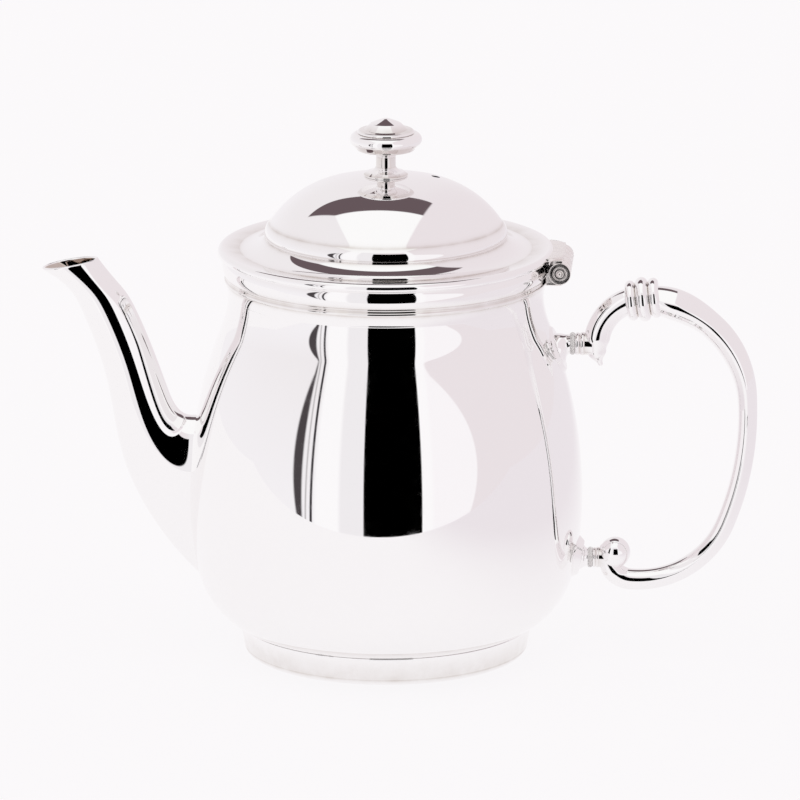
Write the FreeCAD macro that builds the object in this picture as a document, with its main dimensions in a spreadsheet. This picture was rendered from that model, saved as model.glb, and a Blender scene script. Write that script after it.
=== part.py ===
import FreeCAD, Part
import math
import os
import Sketcher

# Hotel-ware teapot of silver-plated metal, in millimetres.
# The origin is the centre of the foot on the table; +Z is up, +X points to the handle, -X to the spout.

doc = FreeCAD.newDocument("Teapot")
sheet = doc.addObject("Spreadsheet::Sheet", "Sizes")


class Size:
    """A length that keeps the sheet expression it is worked out by."""

    def __init__(self, value, text):
        self.value = float(value)
        self.text = text

    def __float__(self):
        return self.value

    def __neg__(self):
        return Size(-self.value, f"(-{self.text})")

    def __add__(self, other):
        return Size(self.value + float(other), f"({self.text} + {words(other)})")

    def __sub__(self, other):
        return Size(self.value - float(other), f"({self.text} - {words(other)})")

    def __mul__(self, other):
        return Size(self.value * float(other), f"({self.text} * {words(other)})")

    def __truediv__(self, other):
        return Size(self.value / float(other), f"({self.text} / {words(other)})")


def words(amount):
    """The text of a length as the sheet's formulas write it."""
    if isinstance(amount, Size):
        return amount.text
    return f"({amount:.6f})"


def root(amount):
    """The square root of a length worked out from the sheet."""
    return Size(math.sqrt(amount.value), f"sqrt({amount.text})")


def size(alias, value):
    """Enter one driving dimension in the sheet."""
    size.row += 1
    sheet.set(f"A{size.row}", alias)
    sheet.set(f"B{size.row}", str(value))
    sheet.setAlias(f"B{size.row}", alias)
    return Size(value, f"Sizes.{alias}")


size.row = 0
on_axis = Size(0, "0")

# Vessel: a pear outline of four tangent arcs above a flat bottom
wall = size("wall_thickness", 1.0)
belly_radius = size("belly_radius", 64.4)
belly_height = size("belly_height", 51.7)
shoulder_curve = size("shoulder_curve", 157.5)
neck_curve = size("neck_curve", 32.0)
neck_radius = size("neck_radius", 51.4)
mouth_height = size("mouth_height", 132.7)
under_curve = size("under_curve", 110.0)
under_drop = size("under_drop", 24.7)
bottom_curve = size("bottom_curve", 26.2)
bottom_radius = size("bottom_radius", 47.6)
bottom_seam = size("bottom_seam_radius", 46.6)
strainer_hole = size("strainer_hole_diameter", 3.6)
strainer_pitch = size("strainer_pitch", 6.4)
strainer_height = size("strainer_height", 49.0)

# Foot and mouth mouldings
foot_edge = size("foot_edge_radius", 47.9)
foot_rest_outer = size("foot_rest_outer_radius", 45.2)
foot_rest_inner = size("foot_rest_inner_radius", 43.4)
foot_top_width = size("foot_top_width", 1.7)
foot_roll = size("foot_roll_height", 1.8)
foot_roll_bulge = size("foot_roll_bulge", 1.35)
foot_roll_curve = size("foot_roll_curve", 1.9)
collar_base = size("collar_base_height", 120.6)
collar_lip = size("collar_lip", 0.2)
collar_flare = size("collar_flare_height", 3.8)
collar_flare_curve = size("collar_flare_curve", 13.1)
collar_step = size("collar_step", 0.97)
collar_bead = size("collar_bead_height", 1.2)
collar_bead_curve = size("collar_bead_curve", 0.8)
collar_quirk = size("collar_quirk_height", 0.6)
collar_line = size("collar_line_height", 0.7)
collar_line_curve = size("collar_line_curve", 0.5)
collar_rim = size("collar_rim_step", 1.2)
collar_rim_curve = size("collar_rim_curve", 5.8)

# Spout
spout_base_width = size("spout_base_width", 37.0)
spout_mouth_width = size("spout_mouth_width", 14.0)
spout_wall = size("spout_wall", 1.1)
spout_taper = 2.5
oval_end_share = 0.75

# Lid
lid_gap = size("lid_gap", 0.2)
lid_sheet = size("lid_sheet", 1.0)
brim_radius = size("brim_radius", 54.8)
brim_thickness = size("brim_thickness", 2.2)
dome_height = size("dome_height", 159.3)
dome_crown_curve = size("dome_crown_curve", 80.0)
dome_crown_radius = size("dome_crown_radius", 18.0)
dome_side_curve = size("dome_side_curve", 33.0)
dome_foot_radius = size("dome_foot_radius", 38.0)
dome_foot_height = size("dome_foot_height", 143.4)
step_reach = size("step_reach", 1.3)
step_drop = size("step_drop", 4.9)
step_curve = size("step_curve", 4.7)
cove_reach = size("cove_reach", 9.8)
cove_curve = size("cove_curve", 13.0)
vent_diameter = size("vent_diameter", 2.8)
vent_reach = size("vent_reach", 17.0)
vent_bearing = 21.0
bezel_radius = size("bezel_radius", 49.0)
bezel_depth = size("bezel_depth", 6.0)

# Hinge
hinge_reach = size("hinge_reach", 57.1)
hinge_height = size("hinge_height", 130.1)
knuckle_radius = size("knuckle_radius", 3.6)
knuckle_length = size("knuckle_length", 5.4)
knuckle_gap = size("knuckle_gap", 0.2)
pin_radius = size("pin_radius", 2.0)
pin_clearance = size("pin_clearance", 0.05)
hinge_relief = size("hinge_relief", 0.4)
leaf_drop = size("leaf_drop", 5.2)
leaf_thickness = size("leaf_thickness", 1.2)
leaf_overhang = size("leaf_overhang", 0.6)
tab_overhang = size("tab_overhang", 1.4)
tab_corner = size("tab_corner_radius", 6.5)
web_width = size("web_width", 4.2)
web_front = size("web_front", 2.2)
web_back = size("web_back", 1.0)
web_foot = size("web_foot", 2.4)

# Finial
finial_foot = size("finial_foot_radius", 7.0)
finial_edge = size("finial_edge_height", 0.7)
finial_edge_curve = size("finial_edge_curve", 0.4)
finial_flare = size("finial_flare", 1.1)
finial_flare_rise = size("finial_flare_rise", 1.5)
finial_stem = size("finial_stem_radius", 3.2)
finial_stem_rise = size("finial_stem_rise", 3.2)
finial_stem_curve = size("finial_stem_curve", 3.2)
finial_neck = size("finial_neck", 0.7)
finial_neck_height = size("finial_neck_height", 1.1)
finial_neck_curve = size("finial_neck_curve", 1.6)
finial_height = size("finial_height", 178.1)
knob_base = size("knob_base_height", 166.3)
knob_radius = size("knob_radius", 11.75)
knob_rim = size("knob_rim_height", 4.7)
knob_lip = size("knob_lip_radius", 9.2)
knob_lip_rise = size("knob_lip_rise", 1.4)
knob_lip_height = size("knob_lip_height", 0.5)
knob_lip_curve = size("knob_lip_curve", 0.4)
knob_band = size("knob_band", 0.75)
knob_band_height = size("knob_band_height", 1.4)
knob_band_curve = size("knob_band_curve", 1.7)
knob_shoulder_curve = size("knob_shoulder_curve", 2.26)
cap_height = size("cap_height", 4.9)
cap_seat = size("cap_seat_radius", 9.0)
cap_edge = size("cap_edge_height", 0.3)
cap_bead = size("cap_bead_height", 0.8)
cap_bead_width = size("cap_bead_width", 0.9)
cap_ridge = size("cap_ridge_radius", 6.2)
cap_ridge_drop = size("cap_ridge_drop", 2.2)
cap_tip = size("cap_tip_radius", 0.6)
cap_tip_drop = size("cap_tip_drop", 0.11)
stud_radius = size("stud_radius", 1.5)
nut_height = size("nut_height", 2.4)
nut_corner = size("nut_corner_radius", 3.1)
washer_height = size("washer_height", 0.8)
washer_radius = size("washer_radius", 4.1)
stud_end = size("stud_end", 0.6)

# Handle and its two joints to the body
upper_axis = size("upper_joint_height", 103.7)
lower_axis = size("lower_joint_height", 31.6)
dowel_radius = size("dowel_radius", 1.2)
arm_tip = size("arm_tip_diameter", 1.6)
arm_shoulder = size("arm_shoulder_diameter", 8.5)
arm_crown = size("arm_crown_diameter", 10.4)
arm_back = size("arm_back_diameter", 6.3)
arm_base = size("arm_base_diameter", 7.0)
bead_middle = size("bead_middle_diameter", 15.0)
bead_side = size("bead_side_diameter", 13.2)
bead_groove_depth = size("bead_groove_depth", 1.3)
ball_radius = size("ball_radius", 5.1)
flange_buried = size("flange_buried", 3.0)
flange_rise = size("flange_rise", 2.0)
insulator_thickness = size("insulator_thickness", 1.5)
insulator_edge_curve = size("insulator_edge_curve", 1.1)
ferrule_buried = size("ferrule_buried", 2.6)
dowel_in_socket = size("dowel_in_socket", 2.4)
dowel_in_arm = size("dowel_in_arm", 3.2)
upper_end = size("upper_socket_end", 60.2)
upper_arm_side = size("upper_arm_side", 64.9)
upper_girth = size("upper_flange_diameter", 18.5)
lower_end = size("lower_socket_end", 66.4)
lower_arm_side = size("lower_arm_side", 70.0)
lower_girth = size("lower_flange_diameter", 14.2)

doc.recompute()


def vector(x, y, z):
    """A point or a direction, from plain numbers or lengths of the sheet."""
    return FreeCAD.Vector(float(x), float(y), float(z))


def new_body(label):
    """An empty body named for its piece."""
    body = doc.addObject("PartDesign::Body", label)
    body.Label = label
    return body


def new_sketch(body, name, role):
    """A sketch on one of the body's own origin planes."""
    sketch = body.newObject("Sketcher::SketchObject", name)
    plane = [item for item in body.Origin.OriginFeatures if item.Role == role][0]
    sketch.AttachmentSupport = [(plane, "")]
    sketch.MapMode = "FlatFace"
    return sketch


def pin_down(sketch, edge, end, axis, amount):
    """Hold one coordinate of a corner at its distance from the sketch's origin."""
    value = float(amount)
    if abs(value) < 1e-9:
        sketch.addConstraint(Sketcher.Constraint("PointOnObject", edge, end, -2 if axis == "X" else -1))
        return
    points = (-1, 1, edge, end) if value > 0 else (edge, end, -1, 1)
    number = sketch.addConstraint(Sketcher.Constraint(f"Distance{axis}", *points, abs(value)))
    if isinstance(amount, Size):
        sketch.setExpression(f"Constraints[{number}]", amount.text if value > 0 else (-amount).text)


def outline(sketch, corners):
    """Draw a closed outline. A corner is (x, y), or (x, y, radius) where an arc leads to it.

    An arc with a positive radius turns to the left on the way to its corner, a negative one to the right.
    """
    points = [vector(corner[0], corner[1], 0) for corner in corners]
    ends = []
    for index, corner in enumerate(corners):
        before = points[index - 1]
        here = points[index]
        if len(corner) == 2:
            edge = sketch.addGeometry(Part.LineSegment(before, here))
            ends.append((edge, 1, 2))
            continue
        radius = abs(float(corner[2]))
        left = float(corner[2]) > 0
        chord = here - before
        rise = math.sqrt(max(radius ** 2 - chord.Length ** 2 / 4, 0))
        side = vector(-chord.y, chord.x, 0).normalize()
        centre = (before + here) * 0.5 + side * (rise if left else -rise)
        first, last = (before, here) if left else (here, before)
        start = math.atan2(first.y - centre.y, first.x - centre.x)
        stop = math.atan2(last.y - centre.y, last.x - centre.x)
        circle = Part.Circle(centre, vector(0, 0, 1), radius)
        if stop < start:
            stop += 2 * math.pi
        edge = sketch.addGeometry(Part.ArcOfCircle(circle, start, stop))
        ends.append((edge, 1, 2) if left else (edge, 2, 1))
        number = sketch.addConstraint(Sketcher.Constraint("Radius", edge, radius))
        if isinstance(corner[2], Size):
            sketch.setExpression(f"Constraints[{number}]", corner[2].text if left else (-corner[2]).text)
    for index, (edge, _, end) in enumerate(ends):
        after, start, _ = ends[(index + 1) % len(ends)]
        sketch.addConstraint(Sketcher.Constraint("Coincident", edge, end, after, start))
        pin_down(sketch, edge, end, "X", corners[index][0])
        pin_down(sketch, edge, end, "Y", corners[index][1])


def turned(label, corners):
    """A piece turned about the pot's own axis, from its half outline as (radius, height)."""
    body = new_body(label)
    sketch = new_sketch(body, label + "_outline", "XZ_Plane")
    outline(sketch, corners)
    turn = body.newObject("PartDesign::Revolution", label + "_turn")
    turn.Profile = sketch
    turn.ReferenceAxis = (sketch, ["V_Axis"])
    turn.Angle = 360
    doc.recompute()
    return body


def turned_along_x(label, corners, axis_height):
    """A piece turned about a level axis towards the handle, from its half outline as (x, radius)."""
    body = new_body(label)
    sketch = new_sketch(body, label + "_outline", "XZ_Plane")
    sketch.setExpression("AttachmentOffset.Base.y", axis_height.text)
    doc.recompute()
    outline(sketch, corners)
    turn = body.newObject("PartDesign::Revolution", label + "_turn")
    turn.Profile = sketch
    turn.ReferenceAxis = (sketch, ["H_Axis"])
    turn.Angle = 360
    doc.recompute()
    return body


def rod(name, radius, length, base, direction):
    """A plain cylinder, its radius and length bound to the sheet where they come from it."""
    cylinder = doc.addObject("Part::Cylinder", name)
    for field, amount in (("Radius", radius), ("Height", length)):
        if isinstance(amount, Size):
            cylinder.setExpression(field, amount.text)
        else:
            setattr(cylinder, field, amount)
    cylinder.Placement = FreeCAD.Placement(base, FreeCAD.Rotation(vector(0, 0, 1), direction))
    return cylinder


def block(name, low, high):
    """A plain box between two corners."""
    box = doc.addObject("Part::Box", name)
    box.Length, box.Width, box.Height = (high - low)
    box.Placement.Base = low
    return box


def cut(label, base, tool):
    """One piece with another shape taken out of it."""
    result = doc.addObject("Part::Cut", label)
    result.Label = label
    result.Base = base
    result.Tool = tool
    return result


def fused(label, shapes):
    """Several shapes joined into one."""
    result = doc.addObject("Part::MultiFuse", label)
    result.Label = label
    result.Shapes = shapes
    return result


def round_section(body, name, centre, heading, diameter):
    """A circle square to a heading, given in degrees above +X in the plane of spout and handle."""
    sketch = body.newObject("Sketcher::SketchObject", name)
    normal = vector(math.cos(math.radians(heading)), 0, math.sin(math.radians(heading)))
    turn = FreeCAD.Rotation(vector(0, 1, 0), vector(0, 0, 0), normal, "ZXY")
    sketch.Placement = FreeCAD.Placement(centre, turn)
    circle = sketch.addGeometry(Part.Circle(vector(0, 0, 0), vector(0, 0, 1), float(diameter) / 2))
    sketch.addConstraint(Sketcher.Constraint("Coincident", circle, 3, -1, 1))
    number = sketch.addConstraint(Sketcher.Constraint("Diameter", circle, float(diameter)))
    if isinstance(diameter, Size):
        sketch.setExpression(f"Constraints[{number}]", diameter.text)
    return sketch


def oval_section(body, name, under, over, width, inset):
    """A four-arc oval across the spout, from its under line to its over line, drawn in by an inset."""
    sketch = body.newObject("Sketcher::SketchObject", name)
    rise = over - under
    turn = FreeCAD.Rotation(rise, vector(0, 1, 0), vector(0, 0, 0), "XYZ")
    sketch.Placement = FreeCAD.Placement((under + over) * 0.5, turn)
    half_height = -inset + rise.Length / 2
    half_width = width / 2 - inset
    end_curve = half_width * (half_width / half_height * oval_end_share + (1 - oval_end_share))
    reach = half_height - end_curve
    bulge = half_width * half_width - end_curve * end_curve
    side_curve = (reach * reach + bulge) / ((half_width - end_curve) * 2)
    along = side_curve * reach / (side_curve - end_curve)
    across = (side_curve - half_width) * end_curve / (side_curve - end_curve)
    outline(sketch, [
        (along, across, end_curve),
        (-along, across, side_curve),
        (-along, -across, end_curve),
        (along, -across, side_curve),
    ])
    return sketch


def loft(body, kind, name, sections):
    """A smooth skin through sections, added to the body or taken out of it."""
    skin = body.newObject(f"PartDesign::{kind}Loft", name)
    skin.Profile = sections[0]
    skin.Sections = sections[1:]
    doc.recompute()
    return skin


# Vessel outline: the arcs' joints follow from their radii, each pair sharing a tangent
under_slope = under_drop / under_curve
under_side = belly_radius - under_curve + root(under_curve * under_curve - under_drop * under_drop)
under_height = belly_height - under_drop
bottom_centre_x = belly_radius - under_curve + root(under_curve * under_curve - under_drop * under_drop) * (
    (under_curve - bottom_curve) / under_curve)
bottom_centre_z = belly_height - under_slope * (under_curve - bottom_curve)
bottom_half = bottom_radius - bottom_centre_x
bottom_height = bottom_centre_z - root(bottom_curve * bottom_curve - bottom_half * bottom_half)
curve_sum = shoulder_curve + neck_curve
curve_level = curve_sum - belly_radius + neck_radius
neck_height = belly_height + root(curve_sum * curve_sum - curve_level * curve_level)
shoulder_share = shoulder_curve / curve_sum
shoulder_radius = belly_radius - shoulder_curve + curve_level * shoulder_share
shoulder_height = belly_height + (neck_height - belly_height) * shoulder_share

vessel_outline = [
    (on_axis, bottom_height),
    (bottom_radius, bottom_height),
    (under_side, under_height, bottom_curve),
    (belly_radius, belly_height, under_curve),
    (shoulder_radius, shoulder_height, shoulder_curve),
    (neck_radius, neck_height, -neck_curve),
    (neck_radius, mouth_height),
    (on_axis, mouth_height),
]
vessel_form = turned("vessel_form", vessel_outline)

# Body shell: the vessel hollowed to its wall, open at the mouth and the bottom, pierced behind the spout
body_shell = turned("body_shell", vessel_outline)
solid_form = body_shell.Tip
mouth_face = max(range(len(solid_form.Shape.Faces)), key=lambda i: solid_form.Shape.Faces[i].CenterOfMass.z)
hollow = body_shell.newObject("PartDesign::Thickness", "body_hollow")
hollow.Base = (solid_form, [f"Face{mouth_face + 1}"])
hollow.setExpression("Value", wall.text)
hollow.Reversed = True
doc.recompute()

bottom_sketch = new_sketch(body_shell, "bottom_opening", "XY_Plane")
bottom_ring = bottom_sketch.addGeometry(Part.Circle(vector(0, 0, 0), vector(0, 0, 1), bottom_seam.value))
bottom_sketch.addConstraint(Sketcher.Constraint("Coincident", bottom_ring, 3, -1, 1))
bottom_bound = bottom_sketch.addConstraint(Sketcher.Constraint("Radius", bottom_ring, bottom_seam.value))
bottom_sketch.setExpression(f"Constraints[{bottom_bound}]", bottom_seam.text)
bottom_cut = body_shell.newObject("PartDesign::Pocket", "bottom_cut")
bottom_cut.Profile = bottom_sketch
bottom_cut.setExpression("Length", (bottom_height + wall * 2).text)
bottom_cut.Reversed = True
doc.recompute()

for ring, holes in enumerate((1, 6, 12)):
    pierced = new_sketch(body_shell, f"strainer_ring_{ring}", "YZ_Plane")
    pierced.setExpression("AttachmentOffset.Base.y", strainer_height.text)
    doc.recompute()
    hole = pierced.addGeometry(Part.Circle(vector(ring * strainer_pitch.value, 0, 0), vector(0, 0, 1), 1))
    pin_down(pierced, hole, 3, "X", strainer_pitch * ring)
    pin_down(pierced, hole, 3, "Y", 0)
    bound = pierced.addConstraint(Sketcher.Constraint("Diameter", hole, strainer_hole.value))
    pierced.setExpression(f"Constraints[{bound}]", strainer_hole.text)
    pocket = body_shell.newObject("PartDesign::Pocket", f"strainer_hole_{ring}")
    pocket.Profile = pierced
    pocket.setExpression("Length", (belly_radius + wall).text)
    doc.recompute()
    if holes > 1:
        round_pattern = body_shell.newObject("PartDesign::PolarPattern", f"strainer_pattern_{ring}")
        round_pattern.Originals = [pocket]
        round_pattern.Axis = (pierced, ["N_Axis"])
        round_pattern.Angle = 360
        round_pattern.Occurrences = holes
        body_shell.Tip = round_pattern
        doc.recompute()

# Bottom: a flat disc let into the vessel's lower edge
body_bottom = turned("body_bottom", [
    (on_axis, bottom_height),
    (bottom_seam, bottom_height),
    (bottom_seam, bottom_height + wall),
    (on_axis, bottom_height + wall),
])

# Foot ring: a plain tapered band with a rolled edge and a flat rest
foot_ring = turned("foot_ring", [
    (foot_rest_outer, on_axis),
    (foot_rest_outer + foot_roll_bulge, foot_roll, foot_roll_curve),
    (foot_edge, bottom_height),
    (foot_edge - foot_top_width, bottom_height),
    (foot_rest_inner, foot_roll),
    (foot_rest_inner, on_axis),
])

# Neck collar: flared band, two beads and a rounded rim at the mouth, relieved behind the hinge barrel
flare_top = collar_base + collar_flare
bead_top = flare_top + collar_bead
line_under = bead_top + collar_quirk
rim_under = line_under + collar_line
collar_outline = [
    (neck_radius, collar_base),
    (neck_radius + collar_lip, collar_base),
    (neck_radius + collar_step, flare_top, -collar_flare_curve),
    (neck_radius + collar_step, bead_top, collar_bead_curve),
    (neck_radius + collar_step, line_under),
    (neck_radius + collar_step, rim_under, collar_line_curve),
    (neck_radius + collar_rim, rim_under),
    (neck_radius + collar_rim, mouth_height, collar_rim_curve),
    (neck_radius, mouth_height),
]
collar_band = turned("collar_band", collar_outline)
hinge_centre = vector(hinge_reach, 0, hinge_height)
relief_length = knuckle_length * 6
relief_start = hinge_centre - vector(0, relief_length.value / 2, 0)
relief = rod("hinge_relief_bar", knuckle_radius + hinge_relief, relief_length, relief_start, vector(0, 1, 0))
neck_collar = cut("neck_collar", collar_band, relief)

# Spout: a swan neck between an under line and an over line, widest at the body
spout_under = [
    (-57.0, 20.6), (-74.4, 39.3), (-86.2, 63.0), (-91.3, 88.6),
    (-97.9, 109.0), (-103.4, 119.6), (-112.4, 126.4),
]
spout_over = [
    (-57.0, 79.8), (-67.2, 78.8), (-72.0, 88.0), (-77.1, 102.0),
    (-82.8, 115.0), (-87.2, 121.4), (-93.9, 129.8),
]
spout_sections = 13


def spout_line(points):
    """A smooth line through evenly timed points."""
    line = Part.BSplineCurve()
    times = [index / (len(points) - 1) for index in range(len(points))]
    line.interpolate(Points=[vector(x, 0, z) for x, z in points], Parameters=times)
    return line


def spout_skin(body, kind, inset):
    """Skin the spout, or its bore when the sections are drawn in by the wall."""
    under_line = spout_line(spout_under)
    over_line = spout_line(spout_over)
    sections = []
    for index in range(spout_sections):
        share = index / (spout_sections - 1)
        taper = (1 - share) ** spout_taper
        width = spout_mouth_width + (spout_base_width - spout_mouth_width) * taper
        under = under_line.value(share)
        over = over_line.value(share)
        sections.append(oval_section(body, f"{kind.lower()}_section_{index}", under, over, width, inset))
    doc.recompute()
    return loft(body, kind, f"spout_{kind.lower()}", sections)


spout_tube = new_body("spout_tube")
spout_skin(spout_tube, "Additive", spout_wall * 0)
spout_skin(spout_tube, "Subtractive", spout_wall)
spout = cut("spout", spout_tube, vessel_form)

# Hinge: five knuckles on one pin, three on the lid and two on the collar
knuckle_step = knuckle_length + knuckle_gap
hinge_length = knuckle_length * 5 + knuckle_gap * 4
hinge_start = -hinge_length.value / 2
brim_under = mouth_height + lid_gap
brim_top = brim_under + brim_thickness


def knuckles(name, places, bore):
    """Knuckles at the given places along the hinge, and the bar that bores them."""
    barrels = []
    for place in places:
        base = hinge_centre + vector(0, hinge_start + place * knuckle_step.value, 0)
        barrels.append(rod(f"{name}_knuckle_{place}", knuckle_radius, knuckle_length, base, vector(0, 1, 0)))
    bar_base = hinge_centre - vector(0, hinge_length.value, 0)
    bar = rod(f"{name}_bore", bore, hinge_length * 2, bar_base, vector(0, 1, 0))
    return barrels, bar


body_places = (1, 3)
body_barrels, body_bore = knuckles("body", body_places, pin_radius)
body_arms = []
for place in body_places:
    arm_start = hinge_start + place * knuckle_step.value
    low = vector(neck_radius, arm_start, hinge_height - leaf_drop)
    high = vector(hinge_reach, arm_start + knuckle_length.value, hinge_height - pin_radius / 2)
    body_arms.append(block(f"body_arm_{place}", low, high))
plate_reach = hinge_start + knuckle_step.value
plate_low = vector(neck_radius, plate_reach, hinge_height - leaf_drop)
plate_high = vector(hinge_reach + leaf_overhang, -plate_reach, hinge_height - leaf_drop + leaf_thickness)
body_plate = block("body_plate", plate_low, plate_high)
body_leaf_solid = fused("body_leaf_solid", body_barrels + body_arms + [body_plate])
body_leaf_bored = cut("body_leaf_bored", body_leaf_solid, body_bore)
collar_filled = [(on_axis, collar_base), *collar_outline[1:-1], (on_axis, mouth_height)]
collar_form = turned("collar_form", collar_filled)
body_hinge_leaf = cut("body_hinge_leaf", body_leaf_bored, collar_form)

pin_base = hinge_centre + vector(0, hinge_start, 0)
pin_bar = rod("pin_bar", pin_radius, hinge_length, pin_base, vector(0, 1, 0))
pin_dimples = []
dimple_radius = pin_radius * 0.6
dimple_reach = hinge_length / 2 + pin_radius * 0.25
for name, reach in (("near", -dimple_reach), ("far", dimple_reach)):
    dimple = doc.addObject("Part::Sphere", f"pin_dimple_{name}")
    dimple.setExpression("Radius", dimple_radius.text)
    dimple.Placement.Base = hinge_centre + vector(0, reach, 0)
    pin_dimples.append(dimple)
hinge_pin = cut("hinge_pin", pin_bar, fused("pin_dimples", pin_dimples))

# Lid shell: crowned dome, upright step ring, broad cove and rolled brim, with a vent hole


def crown_drop(radius):
    """How far the crown's arc has fallen from its top at a radius."""
    return dome_crown_curve - root(dome_crown_curve * dome_crown_curve - radius * radius)


crown_height = dome_height - crown_drop(dome_crown_radius)
cove_end = dome_foot_radius + cove_reach
step_side = dome_foot_radius + step_reach
step_under = dome_foot_height - step_drop
lid_outline = [
    (on_axis, dome_height),
    (dome_crown_radius, crown_height, -dome_crown_curve),
    (dome_foot_radius, dome_foot_height, -dome_side_curve),
    (step_side, step_under, -step_curve),
    (cove_end, brim_top, cove_curve),
    (brim_radius - brim_thickness / 2, brim_top),
    (brim_radius, brim_top - brim_thickness / 2, -brim_thickness / 2),
    (brim_radius - brim_thickness / 2, brim_under, -brim_thickness / 2),
    (cove_end - lid_sheet * 0.4, brim_under),
    (cove_end - lid_sheet, brim_top - lid_sheet),
    (step_side - lid_sheet * 0.7, step_under - lid_sheet * 1.1, -cove_curve - lid_sheet),
    (dome_foot_radius - lid_sheet * 0.8, dome_foot_height - lid_sheet * 0.9, step_curve - lid_sheet * 0.1),
    (dome_crown_radius - lid_sheet * 0.2, crown_height - lid_sheet, dome_side_curve - lid_sheet),
    (on_axis, dome_height - lid_sheet, dome_crown_curve - lid_sheet),
]
lid_shell = turned("lid_shell", lid_outline)
vent_x = vent_reach * math.cos(math.radians(vent_bearing))
vent_y = vent_reach * math.sin(math.radians(vent_bearing))
vent_sketch = new_sketch(lid_shell, "vent_outline", "XY_Plane")
vent_place = vector(vent_x, vent_y, 0)
vent_ring = vent_sketch.addGeometry(Part.Circle(vent_place, vector(0, 0, 1), vent_diameter.value / 2))
pin_down(vent_sketch, vent_ring, 3, "X", vent_x)
pin_down(vent_sketch, vent_ring, 3, "Y", vent_y)
vent_bound = vent_sketch.addConstraint(Sketcher.Constraint("Diameter", vent_ring, vent_diameter.value))
vent_sketch.setExpression(f"Constraints[{vent_bound}]", vent_diameter.text)
stud_ring = vent_sketch.addGeometry(Part.Circle(vector(0, 0, 0), vector(0, 0, 1), stud_radius.value))
vent_sketch.addConstraint(Sketcher.Constraint("Coincident", stud_ring, 3, -1, 1))
stud_bound = vent_sketch.addConstraint(Sketcher.Constraint("Radius", stud_ring, stud_radius.value))
vent_sketch.setExpression(f"Constraints[{stud_bound}]", stud_radius.text)
vent = lid_shell.newObject("PartDesign::Pocket", "vent")
vent.Profile = vent_sketch
vent.Type = "Length"
vent.setExpression("Length", (dome_height + lid_sheet).text)
vent.Reversed = True
doc.recompute()

# Lid bezel: the locating ring under the brim
lid_bezel = turned("lid_bezel", [
    (bezel_radius - lid_sheet, brim_under),
    (bezel_radius - lid_sheet, brim_under - bezel_depth),
    (bezel_radius - lid_sheet * 0.5, brim_under - bezel_depth),
    (bezel_radius, brim_under - bezel_depth + lid_sheet * 0.5, lid_sheet * 0.5),
    (bezel_radius, brim_under),
])

# Lid hinge leaf: a round-cornered tab on the brim, with three knuckles hung under it
lid_places = (0, 2, 4)
lid_barrels, lid_bore = knuckles("lid", lid_places, pin_radius + pin_clearance)
tab_reach = hinge_reach + tab_overhang
tab_half = hinge_length / 2
tab_under = hinge_height + knuckle_radius + hinge_relief
tab_body = new_body("lid_tab")
tab_sketch = new_sketch(tab_body, "tab_outline", "XY_Plane")
tab_sketch.setExpression("AttachmentOffset.Base.z", tab_under.text)
doc.recompute()
outline(tab_sketch, [
    (neck_radius, -tab_half),
    (tab_reach - tab_corner, -tab_half),
    (tab_reach, -tab_half + tab_corner, tab_corner),
    (tab_reach, tab_half - tab_corner),
    (tab_reach - tab_corner, tab_half, tab_corner),
    (neck_radius, tab_half),
])
tab_pad = tab_body.newObject("PartDesign::Pad", "tab_pad")
tab_pad.Profile = tab_sketch
tab_pad.setExpression("Length", (brim_top - tab_under).text)
doc.recompute()
lid_webs = []
for place in lid_places:
    web_start = hinge_start + place * knuckle_step.value
    web_inset = (knuckle_length.value - web_width.value) / 2
    low = vector(hinge_reach - web_front, web_start + web_inset, hinge_height + web_foot)
    high = vector(hinge_reach + web_back, web_start + web_inset + web_width.value, tab_under)
    lid_webs.append(block(f"lid_web_{place}", low, high))
lid_leaf_solid = fused("lid_leaf_solid", lid_barrels + lid_webs + [tab_body])
lid_leaf_bored = cut("lid_leaf_bored", lid_leaf_solid, lid_bore)
lid_form = turned("lid_form", lid_outline[:8] + [(on_axis, brim_under)])
lid_hinge_leaf = cut("lid_hinge_leaf", lid_leaf_bored, lid_form)

# Finial: flared base and stem, lower cup and peaked cap of the knob, held by a stud, washer and nut
finial_rest = dome_height - crown_drop(finial_foot)
cup_rim = knob_base + knob_rim
band_under = cup_rim - knob_band_height
cap_base = finial_height - cap_height
finial_base = turned("finial_base", [
    (stud_radius, dome_height - crown_drop(stud_radius)),
    (finial_foot, finial_rest, -dome_crown_curve),
    (finial_foot, finial_rest + finial_edge, finial_edge_curve),
    (finial_foot - finial_flare, finial_rest + finial_flare_rise),
    (finial_stem, finial_rest + finial_stem_rise, -finial_stem_curve),
    (finial_stem, knob_base - finial_neck_height),
    (finial_stem + finial_neck, knob_base, -finial_neck_curve),
    (stud_radius, knob_base),
])
finial_cup = turned("finial_cup", [
    (stud_radius, knob_base),
    (finial_stem + finial_neck, knob_base),
    (knob_lip, knob_base + knob_lip_rise),
    (knob_lip + knob_lip_height / 2, knob_base + knob_lip_rise + knob_lip_height, knob_lip_curve),
    (knob_radius - knob_band, band_under),
    (knob_radius, cup_rim, knob_band_curve),
    (cap_seat, cap_base, knob_shoulder_curve),
    (stud_radius, cap_base),
])
cap_top = cap_base + cap_edge + cap_bead
tip_curve = (cap_tip * cap_tip + cap_tip_drop * cap_tip_drop) / (cap_tip_drop * 2)
finial_cap = turned("finial_cap", [
    (on_axis, cap_base),
    (cap_seat, cap_base),
    (cap_seat + cap_edge, cap_base + cap_edge),
    (cap_seat + cap_edge - cap_bead_width, cap_top, cap_bead_width),
    (cap_ridge, finial_height - cap_ridge_drop),
    (cap_tip, finial_height - cap_tip_drop),
    (on_axis, finial_height, tip_curve),
])
washer_top = dome_height - lid_sheet - crown_drop(washer_radius)
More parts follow.
